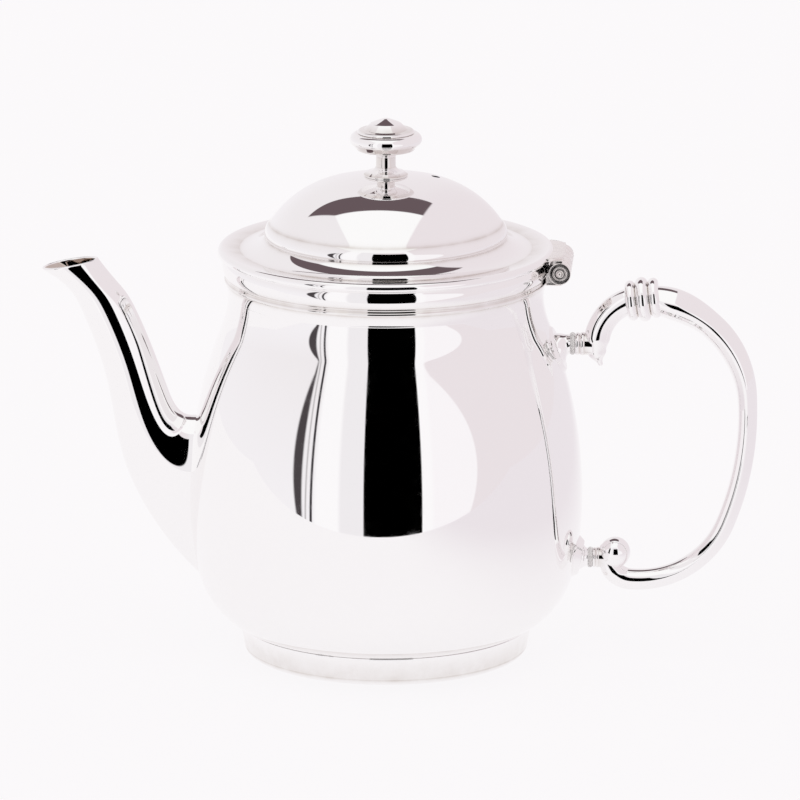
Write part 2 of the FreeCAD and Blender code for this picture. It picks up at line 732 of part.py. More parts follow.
finial_washer = turned("finial_washer", [
    (stud_radius, washer_top - washer_height),
    (washer_radius, washer_top - washer_height),
    (washer_radius, washer_top),
    (stud_radius, washer_top),
])
nut_body = new_body("nut_body")
nut_sketch = new_sketch(nut_body, "nut_outline", "XY_Plane")
nut_sketch.setExpression("AttachmentOffset.Base.z", (washer_top - washer_height - nut_height).text)
doc.recompute()
nut_angles = [math.radians(60 * side) for side in range(6)]
outline(nut_sketch, [(nut_corner * math.cos(angle), nut_corner * math.sin(angle)) for angle in nut_angles])
nut_pad = nut_body.newObject("PartDesign::Pad", "nut_pad")
nut_pad.Profile = nut_sketch
nut_pad.setExpression("Length", nut_height.text)
doc.recompute()
stud_base = washer_top - washer_height - nut_height - stud_end
stud_length = cap_base - stud_base
finial_stud = rod("finial_stud", stud_radius, stud_length, vector(0, 0, stud_base), vector(0, 0, 1))
finial_stud.Label = "finial_stud"
finial_nut = cut("finial_nut", nut_body, finial_stud)

# Handle arm: a C-scroll of tangent arcs, drawn from its crown both ways
crown_place = vector(85.4, 0, 119.0)
crown_heading = -4.0
arm_outward = ((35.1, 82.5), (97.7, 25.4), (31.0, 71.6), (8.6, 95.0))
arm_inward = ((15.6, 118.0),)
arm_step = 7.0


def follow_arcs(place, heading, arcs, turn_sign):
    """Places and headings every few millimetres along a chain of tangent arcs."""
    stations = [(place, heading)]
    for radius, turn in arcs:
        side = math.radians(heading + 90 * turn_sign)
        centre = place + vector(math.cos(side), 0, math.sin(side)) * radius
        steps = max(3, round(math.radians(turn) * radius / arm_step))
        for step in range(1, steps + 1):
            now = heading + turn_sign * turn * step / steps
            spoke = math.radians(now + 90 * turn_sign)
            stations.append((centre - vector(math.cos(spoke), 0, math.sin(spoke)) * radius, now))
        place, heading = stations[-1]
    return stations


outward = follow_arcs(crown_place, crown_heading, arm_outward, -1)
inward = follow_arcs(crown_place, crown_heading + 180, arm_inward, 1)
arm_stations = [(place, heading + 180) for place, heading in reversed(inward[1:])] + outward
arm_travel = [0.0]
for (before, _), (here, _) in zip(arm_stations, arm_stations[1:]):
    arm_travel.append(arm_travel[-1] + (here - before).Length)
arm_girths = ((0.0, arm_tip), (4.0, arm_shoulder * 0.72), (9.0, arm_shoulder), (30.0, arm_shoulder),
              (41.0, arm_crown), (56.0, arm_shoulder), (88.0, arm_back), (135.0, arm_back),
              (170.0, arm_base), (arm_travel[-1], arm_base * 0.72))


def girth_at(travel):
    """The arm's thickness, running evenly between its listed girths."""
    for (start, first), (stop, last) in zip(arm_girths, arm_girths[1:]):
        if travel <= stop:
            share = (travel - start) / (stop - start)
            return first + (last - first) * share
    return arm_girths[-1][1]


arm_body = new_body("arm_body")
arm_sections = []
for index, (place, heading) in enumerate(arm_stations):
    girth = girth_at(arm_travel[index])
    arm_sections.append(round_section(arm_body, f"arm_section_{index}", place, heading, girth))
doc.recompute()
loft(arm_body, "Additive", "arm_skin", arm_sections)

# Three-bead collar round the arm, and the ball in its volute
bead_spans = (3.4, 4.2, 3.4)
bead_girths = (bead_side, bead_middle, bead_side)
bead_groove = bead_side / 2 - bead_groove_depth
bead_place = vector(78.35, 0, 118.1)
bead_tilt = -8.0
bead_corners = [(on_axis, on_axis), (on_axis, bead_groove)]
bead_at = 0.0
for span, girth in zip(bead_spans, bead_girths):
    bead_at += span
    swell = girth.value / 2 - bead_groove.value
    bead_corners.append((bead_at, bead_groove, -(swell / 2 + span ** 2 / (8 * swell))))
bead_corners.append((bead_at, on_axis))
bead_body = new_body("bead_body")
bead_sketch = new_sketch(bead_body, "bead_outline", "XZ_Plane")
outline(bead_sketch, bead_corners)
bead_turn = bead_body.newObject("PartDesign::Revolution", "bead_turn")
bead_turn.Profile = bead_sketch
bead_turn.ReferenceAxis = (bead_sketch, ["H_Axis"])
bead_turn.Angle = 360
bead_body.Placement = FreeCAD.Placement(bead_place, FreeCAD.Rotation(vector(0, 1, 0), bead_tilt))
doc.recompute()
handle_beads = cut("handle_beads", bead_body, arm_body)

ball_place = vector(75.2, 0, 33.4)
ball = doc.addObject("Part::Sphere", "ball")
ball.setExpression("Radius", ball_radius.text)
ball.Placement.Base = ball_place
handle_form = fused("handle_form", [arm_body, ball])


# Handle joints: flanged socket on the body, washer, ringed ferrule, and a dowel through all of them.
# Socket sections lie at shares of the way from its seat to its end; the others go by the neck's diameter.
flange_spread = 1.33
flange_top = 0.78
buried_share = 0.62
rise_share = 0.56
bell_place = 0.7
bell_turn = 0.3
bell_spread = 1.12
throat_place = 0.88
throat_share = 1.06
insulator_share = 0.54
ring_share = 0.52
ring_bulge = 0.62
ferrule_share = 0.6


def handle_joint(name, axis, flange, neck, socket_end, arm_side):
    """One joint of the handle. The flange is (x, height, tilt, diameter), the neck its diameter."""
    flange_x, flange_z, tilt, girth = flange
    out = vector(math.cos(math.radians(tilt)), 0, math.sin(math.radians(tilt)))
    seat = vector(flange_x, 0, flange_z)
    end = vector(socket_end, 0, axis)
    way = end - seat
    trumpet = new_body(f"{name}_trumpet")
    throat = neck * throat_share
    bell_girth = throat * bell_spread
    buried = seat - out * flange_buried.value
    sections = [
        round_section(trumpet, f"{name}_buried", buried, tilt, girth * buried_share),
        round_section(trumpet, f"{name}_rise", seat + out * flange_rise.value, tilt, girth * rise_share),
        round_section(trumpet, f"{name}_bell", seat + way * bell_place, tilt * bell_turn, bell_girth),
        round_section(trumpet, f"{name}_throat", seat + way * throat_place, 0, throat),
        round_section(trumpet, f"{name}_end", end, 0, throat),
    ]
    loft(trumpet, "Additive", f"{name}_skin", sections)
    flange_plate = doc.addObject("Part::Cone", f"{name}_flange")
    flange_plate.setExpression("Radius1", (girth * flange_spread / 2).text)
    flange_plate.setExpression("Radius2", (girth * flange_top / 2).text)
    flange_plate.setExpression("Height", (flange_buried + flange_rise).text)
    flange_plate.Placement = FreeCAD.Placement(buried, FreeCAD.Rotation(vector(0, 0, 1), out))
    flanged = fused(f"{name}_flanged", [trumpet, flange_plate])
    dowel_start = socket_end - dowel_in_socket
    dowel_length = arm_side - dowel_start + dowel_in_arm
    dowel_base = vector(dowel_start, 0, axis)
    dowel = rod(f"{name}_dowel", dowel_radius, dowel_length, dowel_base, vector(1, 0, 0))
    dowel.Label = f"{name}_dowel"
    trumpet_bored = cut(f"{name}_trumpet_bored", flanged, dowel)
    socket = cut(f"{name}_socket", trumpet_bored, vessel_form)
    washer_end = socket_end + insulator_thickness
    insulator_radius = neck * insulator_share
    insulator = turned_along_x(f"{name}_insulator", [
        (socket_end, dowel_radius),
        (socket_end, insulator_radius),
        (washer_end, insulator_radius, -insulator_edge_curve),
        (washer_end, dowel_radius),
    ], axis)
    ring = (arm_side - washer_end) / 2
    ring_curve = ring * ring_bulge
    ring_radius = neck * ring_share
    ferrule_radius = neck * ferrule_share
    ferrule_form = turned_along_x(f"{name}_ferrule_form", [
        (washer_end, dowel_radius),
        (washer_end, ring_radius),
        (washer_end + ring, ring_radius, -ring_curve),
        (arm_side, (ring_radius + ferrule_radius) / 2, -ring_curve),
        (arm_side + ferrule_buried, ferrule_radius),
        (arm_side + ferrule_buried, dowel_radius),
    ], axis)
    ferrule = cut(f"{name}_ferrule", ferrule_form, handle_form)
    return socket, insulator, ferrule, dowel


upper_flange = (54.9, 101.4, 20.0, upper_girth)
lower_flange = (62.3, 31.9, -11.0, lower_girth)
upper_neck = arm_shoulder * 0.74
lower_neck = arm_base * 0.82
upper_pieces = handle_joint("upper", upper_axis, upper_flange, upper_neck, upper_end, upper_arm_side)
lower_pieces = handle_joint("lower", lower_axis, lower_flange, lower_neck, lower_end, lower_arm_side)
handle_arm = cut("handle_arm", arm_body, fused("dowel_bores", [upper_pieces[3], lower_pieces[3]]))
scroll_ball = cut("scroll_ball", ball, fused("ball_seat", [arm_body, lower_pieces[3]]))

pieces = [
    body_shell, body_bottom, foot_ring, neck_collar, spout, body_hinge_leaf, hinge_pin,
    handle_arm, handle_beads, scroll_ball, *upper_pieces, *lower_pieces,
    lid_shell, lid_bezel, lid_hinge_leaf,
    finial_base, finial_cup, finial_cap, finial_stud, finial_washer, finial_nut,
]
doc.recompute()

for item in doc.Objects:
    if "Invalid" in item.State or "Error" in item.State:
        raise RuntimeError(f"{item.Label} failed: {item.State}")
for piece in pieces:
    if piece.Shape.isNull() or not piece.Shape.isValid():
        raise RuntimeError(f"{piece.Label} has no sound shape")

os.makedirs("parts", exist_ok=True)
for piece in pieces:
    piece.Shape.exportStep(f"parts/{piece.Label}.step")
    print(piece.Label, len(piece.Shape.Solids), round(piece.Shape.Volume, 1), piece.Shape.BoundBox)
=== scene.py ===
import math

import bmesh
import bpy
import numpy as np
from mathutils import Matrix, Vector


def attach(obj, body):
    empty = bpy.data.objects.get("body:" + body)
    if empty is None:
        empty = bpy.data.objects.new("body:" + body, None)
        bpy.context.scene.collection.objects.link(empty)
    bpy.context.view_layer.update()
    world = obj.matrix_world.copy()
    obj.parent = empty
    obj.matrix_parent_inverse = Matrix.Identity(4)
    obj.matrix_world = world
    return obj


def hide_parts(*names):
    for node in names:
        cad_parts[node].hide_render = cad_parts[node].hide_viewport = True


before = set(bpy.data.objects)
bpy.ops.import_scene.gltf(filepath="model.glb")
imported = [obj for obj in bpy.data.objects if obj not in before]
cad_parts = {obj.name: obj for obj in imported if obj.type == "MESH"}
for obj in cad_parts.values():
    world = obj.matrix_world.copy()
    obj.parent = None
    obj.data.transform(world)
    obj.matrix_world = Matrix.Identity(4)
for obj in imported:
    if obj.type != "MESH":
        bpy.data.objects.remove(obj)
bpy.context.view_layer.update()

scene = bpy.context.scene
scene.view_settings.view_transform = "Standard"

# Body: a pear-shaped vessel spun from sheet metal, silver-plated and buffed to a mirror.
# Its mouth is open, a flat disc is let into its lower edge, and nineteen strainer holes are
# pierced through the wall behind the spout.
wall = 0.0010
belly_radius = 0.0644
belly_height = 0.0517
shoulder_curve = 0.1575
neck_curve = 0.0320
neck_radius = 0.0514
mouth_height = 0.1327
under_curve = 0.1100
under_drop = 0.0247
bottom_curve = 0.0262
bottom_radius = 0.0476
bottom_seam = 0.0466
strainer_hole = 0.0022
strainer_pitch = 0.0032
strainer_height = 0.0490
strainer_rings = (1, 6, 12)
strainer_start = -0.075
strainer_reach = 0.030
hole_segments = 24
body_segments = 256
seam_ease = 0.0002
turn_step = math.radians(1.5)
sharp_turn = math.radians(5)
crease_turn = math.radians(35)
ease_share = 0.45
crevice_reach = 0.0005
weld_reach = 1e-7


def outline(corners, soft, closed=True):
    """Points (radius, height, crevice) along a chain of lines and arcs.

    A corner is (radius, height), or (radius, height, bow) where an arc of that radius leads to it and turns
    left for a positive bow. A run of length l that turns by a has gone, at share s, the chord
    l s sinc(a s / 2) at the heading it left with plus a s / 2. A sharp corner is eased by a parabola that
    leaves its two runs at the distance soft, or less where they are short. Crevice falls off from 1 at each
    corner that is hollow.
    """
    ends = np.array([corner[:2] for corner in corners], float)
    bends = np.array([1 / corner[2] if len(corner) == 3 else 0 for corner in corners])
    chords = ends - np.roll(ends, 1, axis=0)
    spans = np.hypot(chords[:, 0], chords[:, 1])
    turns = 2 * np.arcsin(np.clip(spans * bends / 2, -1, 1))
    lengths = spans / np.sinc(turns / (2 * np.pi))
    leaving = np.arctan2(chords[:, 1], chords[:, 0]) - turns / 2
    kinks = (np.roll(leaving, -1) - leaving - turns + np.pi) % (2 * np.pi) - np.pi
    room = ease_share * np.minimum(lengths, np.roll(lengths, -1))
    easing = np.where(np.abs(kinks) > sharp_turn, np.minimum(soft, room), 0)
    if not closed:
        easing[0] = easing[-1] = 0
    tracks = []
    for run in range(0 if closed else 1, len(corners)):
        steps = max(1, math.ceil(abs(turns[run]) / turn_step))
        share = np.linspace(easing[run - 1] / lengths[run], 1 - easing[run] / lengths[run], steps + 1)
        reach = lengths[run] * share * np.sinc(turns[run] * share / (2 * np.pi))
        heading = leaving[run] + turns[run] * share / 2
        track = ends[run - 1] + reach[:, None] * np.stack([np.cos(heading), np.sin(heading)], axis=1)
        if tracks and easing[run - 1] > 0:
            tracks.append(parabola(tracks[-1][-1], ends[run - 1], track[0]))
        tracks.append(track)
    if closed and easing[-1] > 0:
        tracks.append(parabola(tracks[-1][-1], ends[-1], tracks[0][0]))
    if closed:
        tracks.append(tracks[0][:1])
    line = np.vstack(tracks)
    winding = np.sign(np.sum(ends[:, 0] * np.roll(ends[:, 1], -1) - ends[:, 1] * np.roll(ends[:, 0], -1)))
    hollows = ends[(kinks * winding < -sharp_turn) & (easing > 0)]
    away = np.linalg.norm(line[:, None] - hollows[None], axis=2).min(axis=1, initial=1.0)
    return np.column_stack([line, np.exp(-away / crevice_reach)])


def parabola(start, corner, stop):
    """Three points between start and stop on the parabola that the corner draws out."""
    share = np.array([[0.25], [0.5], [0.75]])
    return (1 - share) ** 2 * start + 2 * share * (1 - share) * corner + share ** 2 * stop


def turned(profile, segments, place=(0, 0, 0), heading=(0, 0, 1)):
    """A grid (x, y, z, crevice): each point of the profile carried once round an axis.

    The axis goes through place along heading, and heights are measured along it from place.
    """
    along = np.array(heading, float)
    across = np.cross((0, 1, 0), along) if abs(along[1]) < 0.5 else np.array((1.0, 0, 0))
    aside = np.cross(along, across)
    angle = np.linspace(0, 2 * np.pi, segments, endpoint=False)[None, :, None]
    radius, height, crevice = (profile[:, None, [column]] for column in range(3))
    points = np.array(place) + height * along + radius * (np.cos(angle) * across + np.sin(angle) * aside)
    return np.concatenate([points, np.broadcast_to(crevice, points.shape[:2] + (1,))], axis=2)


def cylinder(radius, low, high, soft, segments, place=(0, 0, 0), heading=(0, 0, 1)):
    """A closed cylinder about an axis, from a low to a high place along it, with its edges eased by soft."""
    corners = [(0, low), (radius, low), (radius, high), (0, high)]
    return turned(outline(corners, soft, closed=False), segments, place, heading)


def skin(name, *grids):
    """A smooth closed mesh over grids of points (x, y, z) or (x, y, z, crevice).

    Four neighbouring points make a face, and each grid's last column meets its first. Points that fall
    together, on an axis or where a row comes back to the first, are welded, and faces are turned outwards.
    """
    points, faces, count = [], [], 0
    for grid in grids:
        rows, columns, parts = grid.shape
        index = count + np.arange(rows * columns).reshape(rows, columns)
        index = np.hstack([index, index[:, :1]])
        quads = np.stack([index[:-1, :-1], index[:-1, 1:], index[1:, 1:], index[1:, :-1]], axis=-1)
        faces.append(quads.reshape(-1, 4))
        points.append(np.pad(grid.reshape(-1, parts), ((0, 0), (0, 4 - parts))))
        count += rows * columns
    points = np.vstack(points)
    mesh = bpy.data.meshes.new(name)
    mesh.from_pydata(points[:, :3].tolist(), [], np.vstack(faces).tolist())
    crevice = mesh.attributes.new("crevice", "FLOAT", "POINT")
    crevice.data.foreach_set("value", points[:, 3].astype(np.float32))
    shell = bmesh.new()
    shell.from_mesh(mesh)
    bmesh.ops.remove_doubles(shell, verts=shell.verts, dist=weld_reach)
    bmesh.ops.recalc_face_normals(shell, faces=shell.faces)
    shell.to_mesh(mesh)
    shell.free()
    smooth(mesh)
    return mesh


def smooth(mesh):
    """Shade a mesh smooth, but for edges that fold by more than a crease does."""
    mesh.shade_smooth()
    mesh.set_sharp_from_angle(angle=crease_turn)


def node(tree, kind, **settings):
    """A shader node with its own settings, and its inputs set or joined by name."""
    made = tree.nodes.new(kind)
    for key, value in settings.items():
        if key != "inputs":
            setattr(made, key, value)
    for key, value in settings.get("inputs", {}).items():
        if isinstance(value, bpy.types.NodeSocket):
            tree.links.new(value, made.inputs[key])
        else:
            made.inputs[key].default_value = value
    return made


def new_group(name, inputs, outputs):
    """An empty node group with named sockets, and its end nodes."""
    group = bpy.data.node_groups.new(name, "ShaderNodeTree")
    for title, kind, value in inputs:
        group.interface.new_socket(title, in_out="INPUT", socket_type=kind).default_value = value
    for title, kind in outputs:
        group.interface.new_socket(title, in_out="OUTPUT", socket_type=kind)
    return group, node(group, "NodeGroupInput").outputs, node(group, "NodeGroupOutput").inputs


def placed(tree, group, **values):
    """The outputs of a node group that is placed in a material with its own values."""
    return node(tree, "ShaderNodeGroup", node_tree=group, inputs=values).outputs


def sum_of(tree, kind, first, second=0.0, **settings):
    """A Math node's result for one or two numbers or sockets."""
    made = node(tree, "ShaderNodeMath", operation=kind, inputs={0: first, 1: second}, **settings)
    return made.outputs["Value"]


def mixed(tree, share, first, second):
    """The colour that lies a share of the way from a first colour to a second."""
    return node(tree, "ShaderNodeMix", data_type="RGBA", inputs={0: share, 6: first, 7: second}).outputs[2]


def noise(tree, scale, detail):
    """Noise from 0 to 1 on the piece's own coordinates."""
    place = node(tree, "ShaderNodeTexCoord").outputs["Object"]
    made = node(tree, "ShaderNodeTexNoise", inputs={"Vector": place, "Scale": scale, "Detail": detail})
    return made.outputs["Fac"]


def buffing_group():
    """Buffing: cloudy variation of the polish, and the long low waves of worked sheet.

    Roughness runs from Bright to Dull with fine noise of the given Grain; Waves is slow noise, as a height.
    """
    number = "NodeSocketFloat"
    group, given, put = new_group(
        "buffing",
        [("Grain", number, 300.0), ("Bright", number, 0.02), ("Dull", number, 0.06)],
        [("Roughness", number), ("Waves", number)],
    )
    spread = node(group, "ShaderNodeMapRange", inputs={
        "Value": noise(group, given["Grain"], 4.0), "From Min": 0.35, "From Max": 0.7,
        "To Min": given["Bright"], "To Max": given["Dull"],
    })
    group.links.new(spread.outputs["Result"], put["Roughness"])
    group.links.new(noise(group, 26.0, 1.0), put["Waves"])
    return group


def tarnish_group():
    """Tarnish: a thin warm film left in the crevices that a polishing cloth misses, and as faint clouds.

    The film's share is the piece's own crevice value, broken up by noise, plus a trace of slow noise.
    """
    group, given, put = new_group(
        "tarnish",
        [
            ("Clean", "NodeSocketColor", (0.96, 0.95, 0.95, 1)),
            ("Film", "NodeSocketColor", (0.42, 0.35, 0.27, 1)),
            ("Clouds", "NodeSocketFloat", 0.04),
        ],
        [("Colour", "NodeSocketColor")],
    )
    crevice = node(group, "ShaderNodeAttribute", attribute_name="crevice").outputs["Fac"]
    held = sum_of(group, "MULTIPLY", crevice, noise(group, 160.0, 3.0))
    faint = sum_of(group, "MULTIPLY", noise(group, 34.0, 2.0), given["Clouds"])
    film = sum_of(group, "ADD", held, faint, use_clamp=True)
    group.links.new(mixed(group, film, given["Clean"], given["Film"]), put["Colour"])
    return group


buffing = buffing_group()
tarnish = tarnish_group()


def new_material(name, shader_values):
    """An empty material with its principled shader, whose uniform values are set on its own sockets."""
    material = bpy.data.materials.new(name)
    material.use_nodes = True
    tree = material.node_tree
    shader = tree.nodes["Principled BSDF"]
    for key, value in shader_values.items():
        shader.inputs[key].default_value = value
    return material, tree, shader


def silver_plate(name, bright, dull, clean):
    """Silver plate of a given polish: buffed metal with fine grain, slow waves and a trace of tarnish."""
    material, tree, shader = new_material(name, {"Metallic": 1.0})
    polish = placed(tree, buffing, Grain=260.0, Bright=bright, Dull=dull)
    film = placed(tree, tarnish, Clean=(*clean, 1), Film=(0.58, 0.51, 0.46, 1), Clouds=0.02)
    relief = node(tree, "ShaderNodeBump", inputs={
        "Height": polish["Waves"], "Strength": 1.0, "Distance": 0.00002,
    })
    tree.links.new(film["Colour"], shader.inputs["Base Color"])
    tree.links.new(polish["Roughness"], shader.inputs["Roughness"])
    tree.links.new(relief.outputs["Normal"], shader.inputs["Normal"])
    return material


silver = silver_plate("silver_plate", bright=0.015, dull=0.05, clean=(0.965, 0.955, 0.955))


def piece(name, body, finish, slot, stands_for, *grids):
    """One finished piece over its grids, which moves with its body and stands for its CAD node."""
    mesh = skin(name, *grids)
    mesh.materials.append(finish)
    made = bpy.data.objects.new(name, mesh)
    scene.collection.objects.link(made)
    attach(made, body)
    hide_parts(stands_for)
    return made


def pierce(made, *cutters):
    """Take closed cutters out of a piece's mesh, and keep the result as its own mesh."""
    tool = bpy.data.objects.new("cutter", skin("cutter", *cutters))
    scene.collection.objects.link(tool)
    cutting = made.modifiers.new("cutting", "BOOLEAN")
    cutting.solver = "EXACT"
    cutting.object = tool
    whole = made.data
    bpy.context.view_layer.update()
    graph = bpy.context.evaluated_depsgraph_get()
    made.data = bpy.data.meshes.new_from_object(made.evaluated_get(graph))
    made.modifiers.clear()
    made.data.name = whole.name
    bpy.data.objects.remove(tool)
    smooth(made.data)


under_rise = math.sqrt(under_curve ** 2 - under_drop ** 2)
under_side = belly_radius - under_curve + under_rise
under_height = belly_height - under_drop
bottom_share = (under_curve - bottom_curve) / under_curve
bottom_half = bottom_radius - (belly_radius - under_curve + under_rise * bottom_share)
bottom_height = belly_height - under_drop * bottom_share - math.sqrt(bottom_curve ** 2 - bottom_half ** 2)
curve_sum = shoulder_curve + neck_curve
curve_level = curve_sum - belly_radius + neck_radius
neck_height = belly_height + math.sqrt(curve_sum ** 2 - curve_level ** 2)
shoulder_share = shoulder_curve / curve_sum
shoulder_radius = belly_radius - shoulder_curve + curve_level * shoulder_share
shoulder_height = belly_height + (neck_height - belly_height) * shoulder_share
under_out = (under_rise / under_curve, -under_drop / under_curve)
shoulder_out = (curve_level / curve_sum, (neck_height - belly_height) / curve_sum)
vessel_outside = [
    (bottom_seam, bottom_height),
    (bottom_radius, bottom_height),
    (under_side, under_height, bottom_curve),
    (belly_radius, belly_height, under_curve),
    (shoulder_radius, shoulder_height, shoulder_curve),
    (neck_radius, neck_height, -neck_curve),
    (neck_radius, mouth_height),
]
vessel_inside = [
    (neck_radius - wall, mouth_height),
    (neck_radius - wall, neck_height),
    (shoulder_radius - wall * shoulder_out[0], shoulder_height - wall * shoulder_out[1], neck_curve + wall),
    (belly_radius - wall, belly_height, wall - shoulder_curve),
    (under_side - wall * under_out[0], under_height - wall * under_out[1], wall - under_curve),
    (bottom_radius, bottom_height + wall, wall - bottom_curve),
    (bottom_seam, bottom_height + wall),
]
body_profile = outline(vessel_outside + vessel_inside, seam_ease)
body = piece("silver_body", "pot", silver, "silver", "body_shell", turned(body_profile, body_segments))

holes = []
for ring, count in enumerate(strainer_rings):
    for spoke in np.arange(count) * 2 * np.pi / count:
        across = ring * strainer_pitch * math.cos(spoke)
        height = strainer_height + ring * strainer_pitch * math.sin(spoke)
        place = (strainer_start, across, height)
        holes.append(cylinder(strainer_hole / 2, 0, strainer_reach, 0, hole_segments, place, (1, 0, 0)))
pierce(body, *holes)

bottom_disc = cylinder(bottom_seam, bottom_height, bottom_height + wall, seam_ease, body_segments)
piece("silver_bottom", "pot", silver, "silver", "body_bottom", bottom_disc)

# Foot: a plain tapered band with a rolled lower edge, turned from the same metal.
# It is soldered under the body, and the pot rests on its flat lower face.
foot_edge = 0.0479
foot_rest_outer = 0.0452
foot_rest_inner = 0.0434
foot_top_width = 0.0017
foot_roll = 0.0018
foot_roll_bulge = 0.00135
foot_roll_curve = 0.0019
foot_ease = 0.0003
foot_profile = outline([
    (foot_rest_outer, 0),
    (foot_rest_outer + foot_roll_bulge, foot_roll, foot_roll_curve),
    (foot_edge, bottom_height),
    (foot_edge - foot_top_width, bottom_height),
    (foot_rest_inner, foot_roll),
    (foot_rest_inner, 0),
], foot_ease)
piece("silver_foot", "pot", silver, "silver", "foot_ring", turned(foot_profile, body_segments))

# Neck collar: a moulded band with a plain flare, two fine beads and a rounded rim.
# It stiffens the mouth, is drawn as a strip, soldered round the neck, and relieved where the hinge turns.
collar_base = 0.1206
collar_lip = 0.0002
collar_flare = 0.0038
collar_flare_curve = 0.0131
collar_step = 0.00097
collar_bead = 0.0012
collar_bead_curve = 0.0008
collar_quirk = 0.0006
collar_line = 0.0007
collar_line_curve = 0.0005
collar_rim = 0.0012
collar_rim_curve = 0.0058
collar_ease = 0.0001
hinge_reach = 0.0571
hinge_height = 0.1301
knuckle_radius = 0.0036
knuckle_length = 0.0054
hinge_relief = 0.0004
barrel_segments = 64
hinge_axis = ((hinge_reach, 0, hinge_height), (0, 1, 0))
flare_top = collar_base + collar_flare
bead_top = flare_top + collar_bead
line_under = bead_top + collar_quirk
rim_under = line_under + collar_line
collar_profile = outline([
    (neck_radius, collar_base),
    (neck_radius + collar_lip, collar_base),
    (neck_radius + collar_step, flare_top, -collar_flare_curve),
    (neck_radius + collar_step, bead_top, collar_bead_curve),
    (neck_radius + collar_step, line_under),
    (neck_radius + collar_step, rim_under, collar_line_curve),
    (neck_radius + collar_rim, rim_under),
    (neck_radius + collar_rim, mouth_height, collar_rim_curve),
    (neck_radius, mouth_height),
], collar_ease)
collar = piece("silver_collar", "pot", silver, "silver", "neck_collar", turned(collar_profile, body_segments))
relief_half = knuckle_length * 3
relief_radius = knuckle_radius + hinge_relief
pierce(collar, cylinder(relief_radius, -relief_half, relief_half, 0, barrel_segments, *hinge_axis))

# Spout: a hollow swan neck, pressed in two halves, joined, and soldered on at a straight seam.
# Its sections are egg-shaped at the body, with the broad end up, and slim ovals along the neck.
spout_under = np.array([
    (-57.0, 20.6), (-74.4, 39.3), (-86.2, 63.0), (-91.3, 88.6),
    (-97.9, 109.0), (-103.4, 119.6), (-112.4, 126.4),
]) / 1000
spout_over = np.array([
    (-57.0, 79.8), (-67.2, 78.8), (-72.0, 88.0), (-77.1, 102.0),
    (-82.8, 115.0), (-87.2, 121.4), (-93.9, 129.8),
]) / 1000
spout_base_width = 0.0205
spout_mouth_width = 0.0125
spout_wall = 0.0011
spout_taper = 1.2
spout_shoulder = 0.20
spout_shoulder_taper = 4
spout_rows = 220
spout_columns = 144
spout_stain = 2.0
seam_depth = 0.0002
seek_rows = 600


def smooth_line(marks, time):
    """Places on a curve that passes evenly timed marks as time goes from 0 to 1.

    Each stretch between two marks is a cubic; neighbours share slope and bend, and the first and last
    slopes are those of the cubic through the four marks at that end.
    """
    last = len(marks) - 1
    slope = np.array((-11, 18, -9, 2)) / 6
    matrix = np.eye(last + 1) * 4 + np.eye(last + 1, k=1) + np.eye(last + 1, k=-1)
    matrix[0, 0] = matrix[last, last] = 2
    pull = np.zeros_like(marks)
    pull[1:-1] = 6 * (marks[2:] - 2 * marks[1:-1] + marks[:-2])
    pull[0] = 6 * (marks[1] - marks[0] - slope @ marks[:4])
    pull[last] = 6 * (-slope @ marks[:-5:-1] - marks[last] + marks[last - 1])
    bend = np.linalg.solve(matrix, pull)
    stretch = np.clip((time * last).astype(int), 0, last - 1)
    after = (time * last - stretch)[..., None]
    before = 1 - after
    place = before * marks[stretch] + after * marks[stretch + 1]
    return place + ((before ** 3 - before) * bend[stretch] + (after ** 3 - after) * bend[stretch + 1]) / 6


def points_of(x, y, z):
    """Points from arrays of x, y and z, spread to one shape."""
    return np.stack(np.broadcast_arrays(x, y, z), axis=-1)


def spout_surface(time, angle, inset):
    """Points of the spout at a time from body to mouth and an angle round its section.

    The section stands between the under line and the over line. It is two half ellipses that share their
    widest place, which lies higher towards the body. The angle is that of the outward normal: with half
    height a and half width b, the point is (a a cos, b b sin) over the root of (a cos)^2 + (b sin)^2.
    """
    under = smooth_line(spout_under, time)
    over = smooth_line(spout_over, time)
    rise = over - under
    length = np.linalg.norm(rise, axis=-1)
    widest = 0.5 + spout_shoulder * (1 - time) ** spout_shoulder_taper
    width = spout_mouth_width + (spout_base_width - spout_mouth_width) * (1 - time) ** spout_taper
    half_width = width / 2 - inset
    half_height = length * np.where(np.cos(angle) > 0, 1 - widest, widest) - inset
    size = np.hypot(half_height * np.cos(angle), half_width * np.sin(angle))
    up = half_height ** 2 * np.cos(angle) / size
    out = half_width ** 2 * np.sin(angle) / size
    middle = under + rise * (widest + up / length)[..., None]
    return points_of(middle[..., 0], out, middle[..., 1])


outer_wall = outline(vessel_outside, 0, closed=False)


def from_vessel(surface, rows, columns):
    """A grid of a surface that springs from the vessel, its lines starting just inside the outer wall.

    The surface is a function of time and angle; a line starts where its points come out of the vessel.
    """
    angle = np.linspace(0, 2 * np.pi, columns, endpoint=False)[None]
    time = np.linspace(0, 1, seek_rows)[:, None] + 0 * angle
    points = surface(time, angle + 0 * time)
    reach = np.hypot(points[..., 0], points[..., 1])
    clear = reach - np.interp(points[..., 2], outer_wall[:, 1], outer_wall[:, 0]) + seam_depth
    last_in = len(clear) - 1 - np.argmax(clear[::-1] < 0, axis=0)
    last_in = np.where((clear < 0).any(axis=0), last_in, 0)
    line = np.arange(columns)
    inside = clear[last_in, line]
    outside = clear[last_in + 1, line]
    share = np.where(inside < 0, inside / (inside - outside), 0)
    start = (last_in + share) / (len(clear) - 1)
    time = start + (1 - start) * np.linspace(0, 1, rows)[:, None]
    return surface(time, angle + 0 * time)


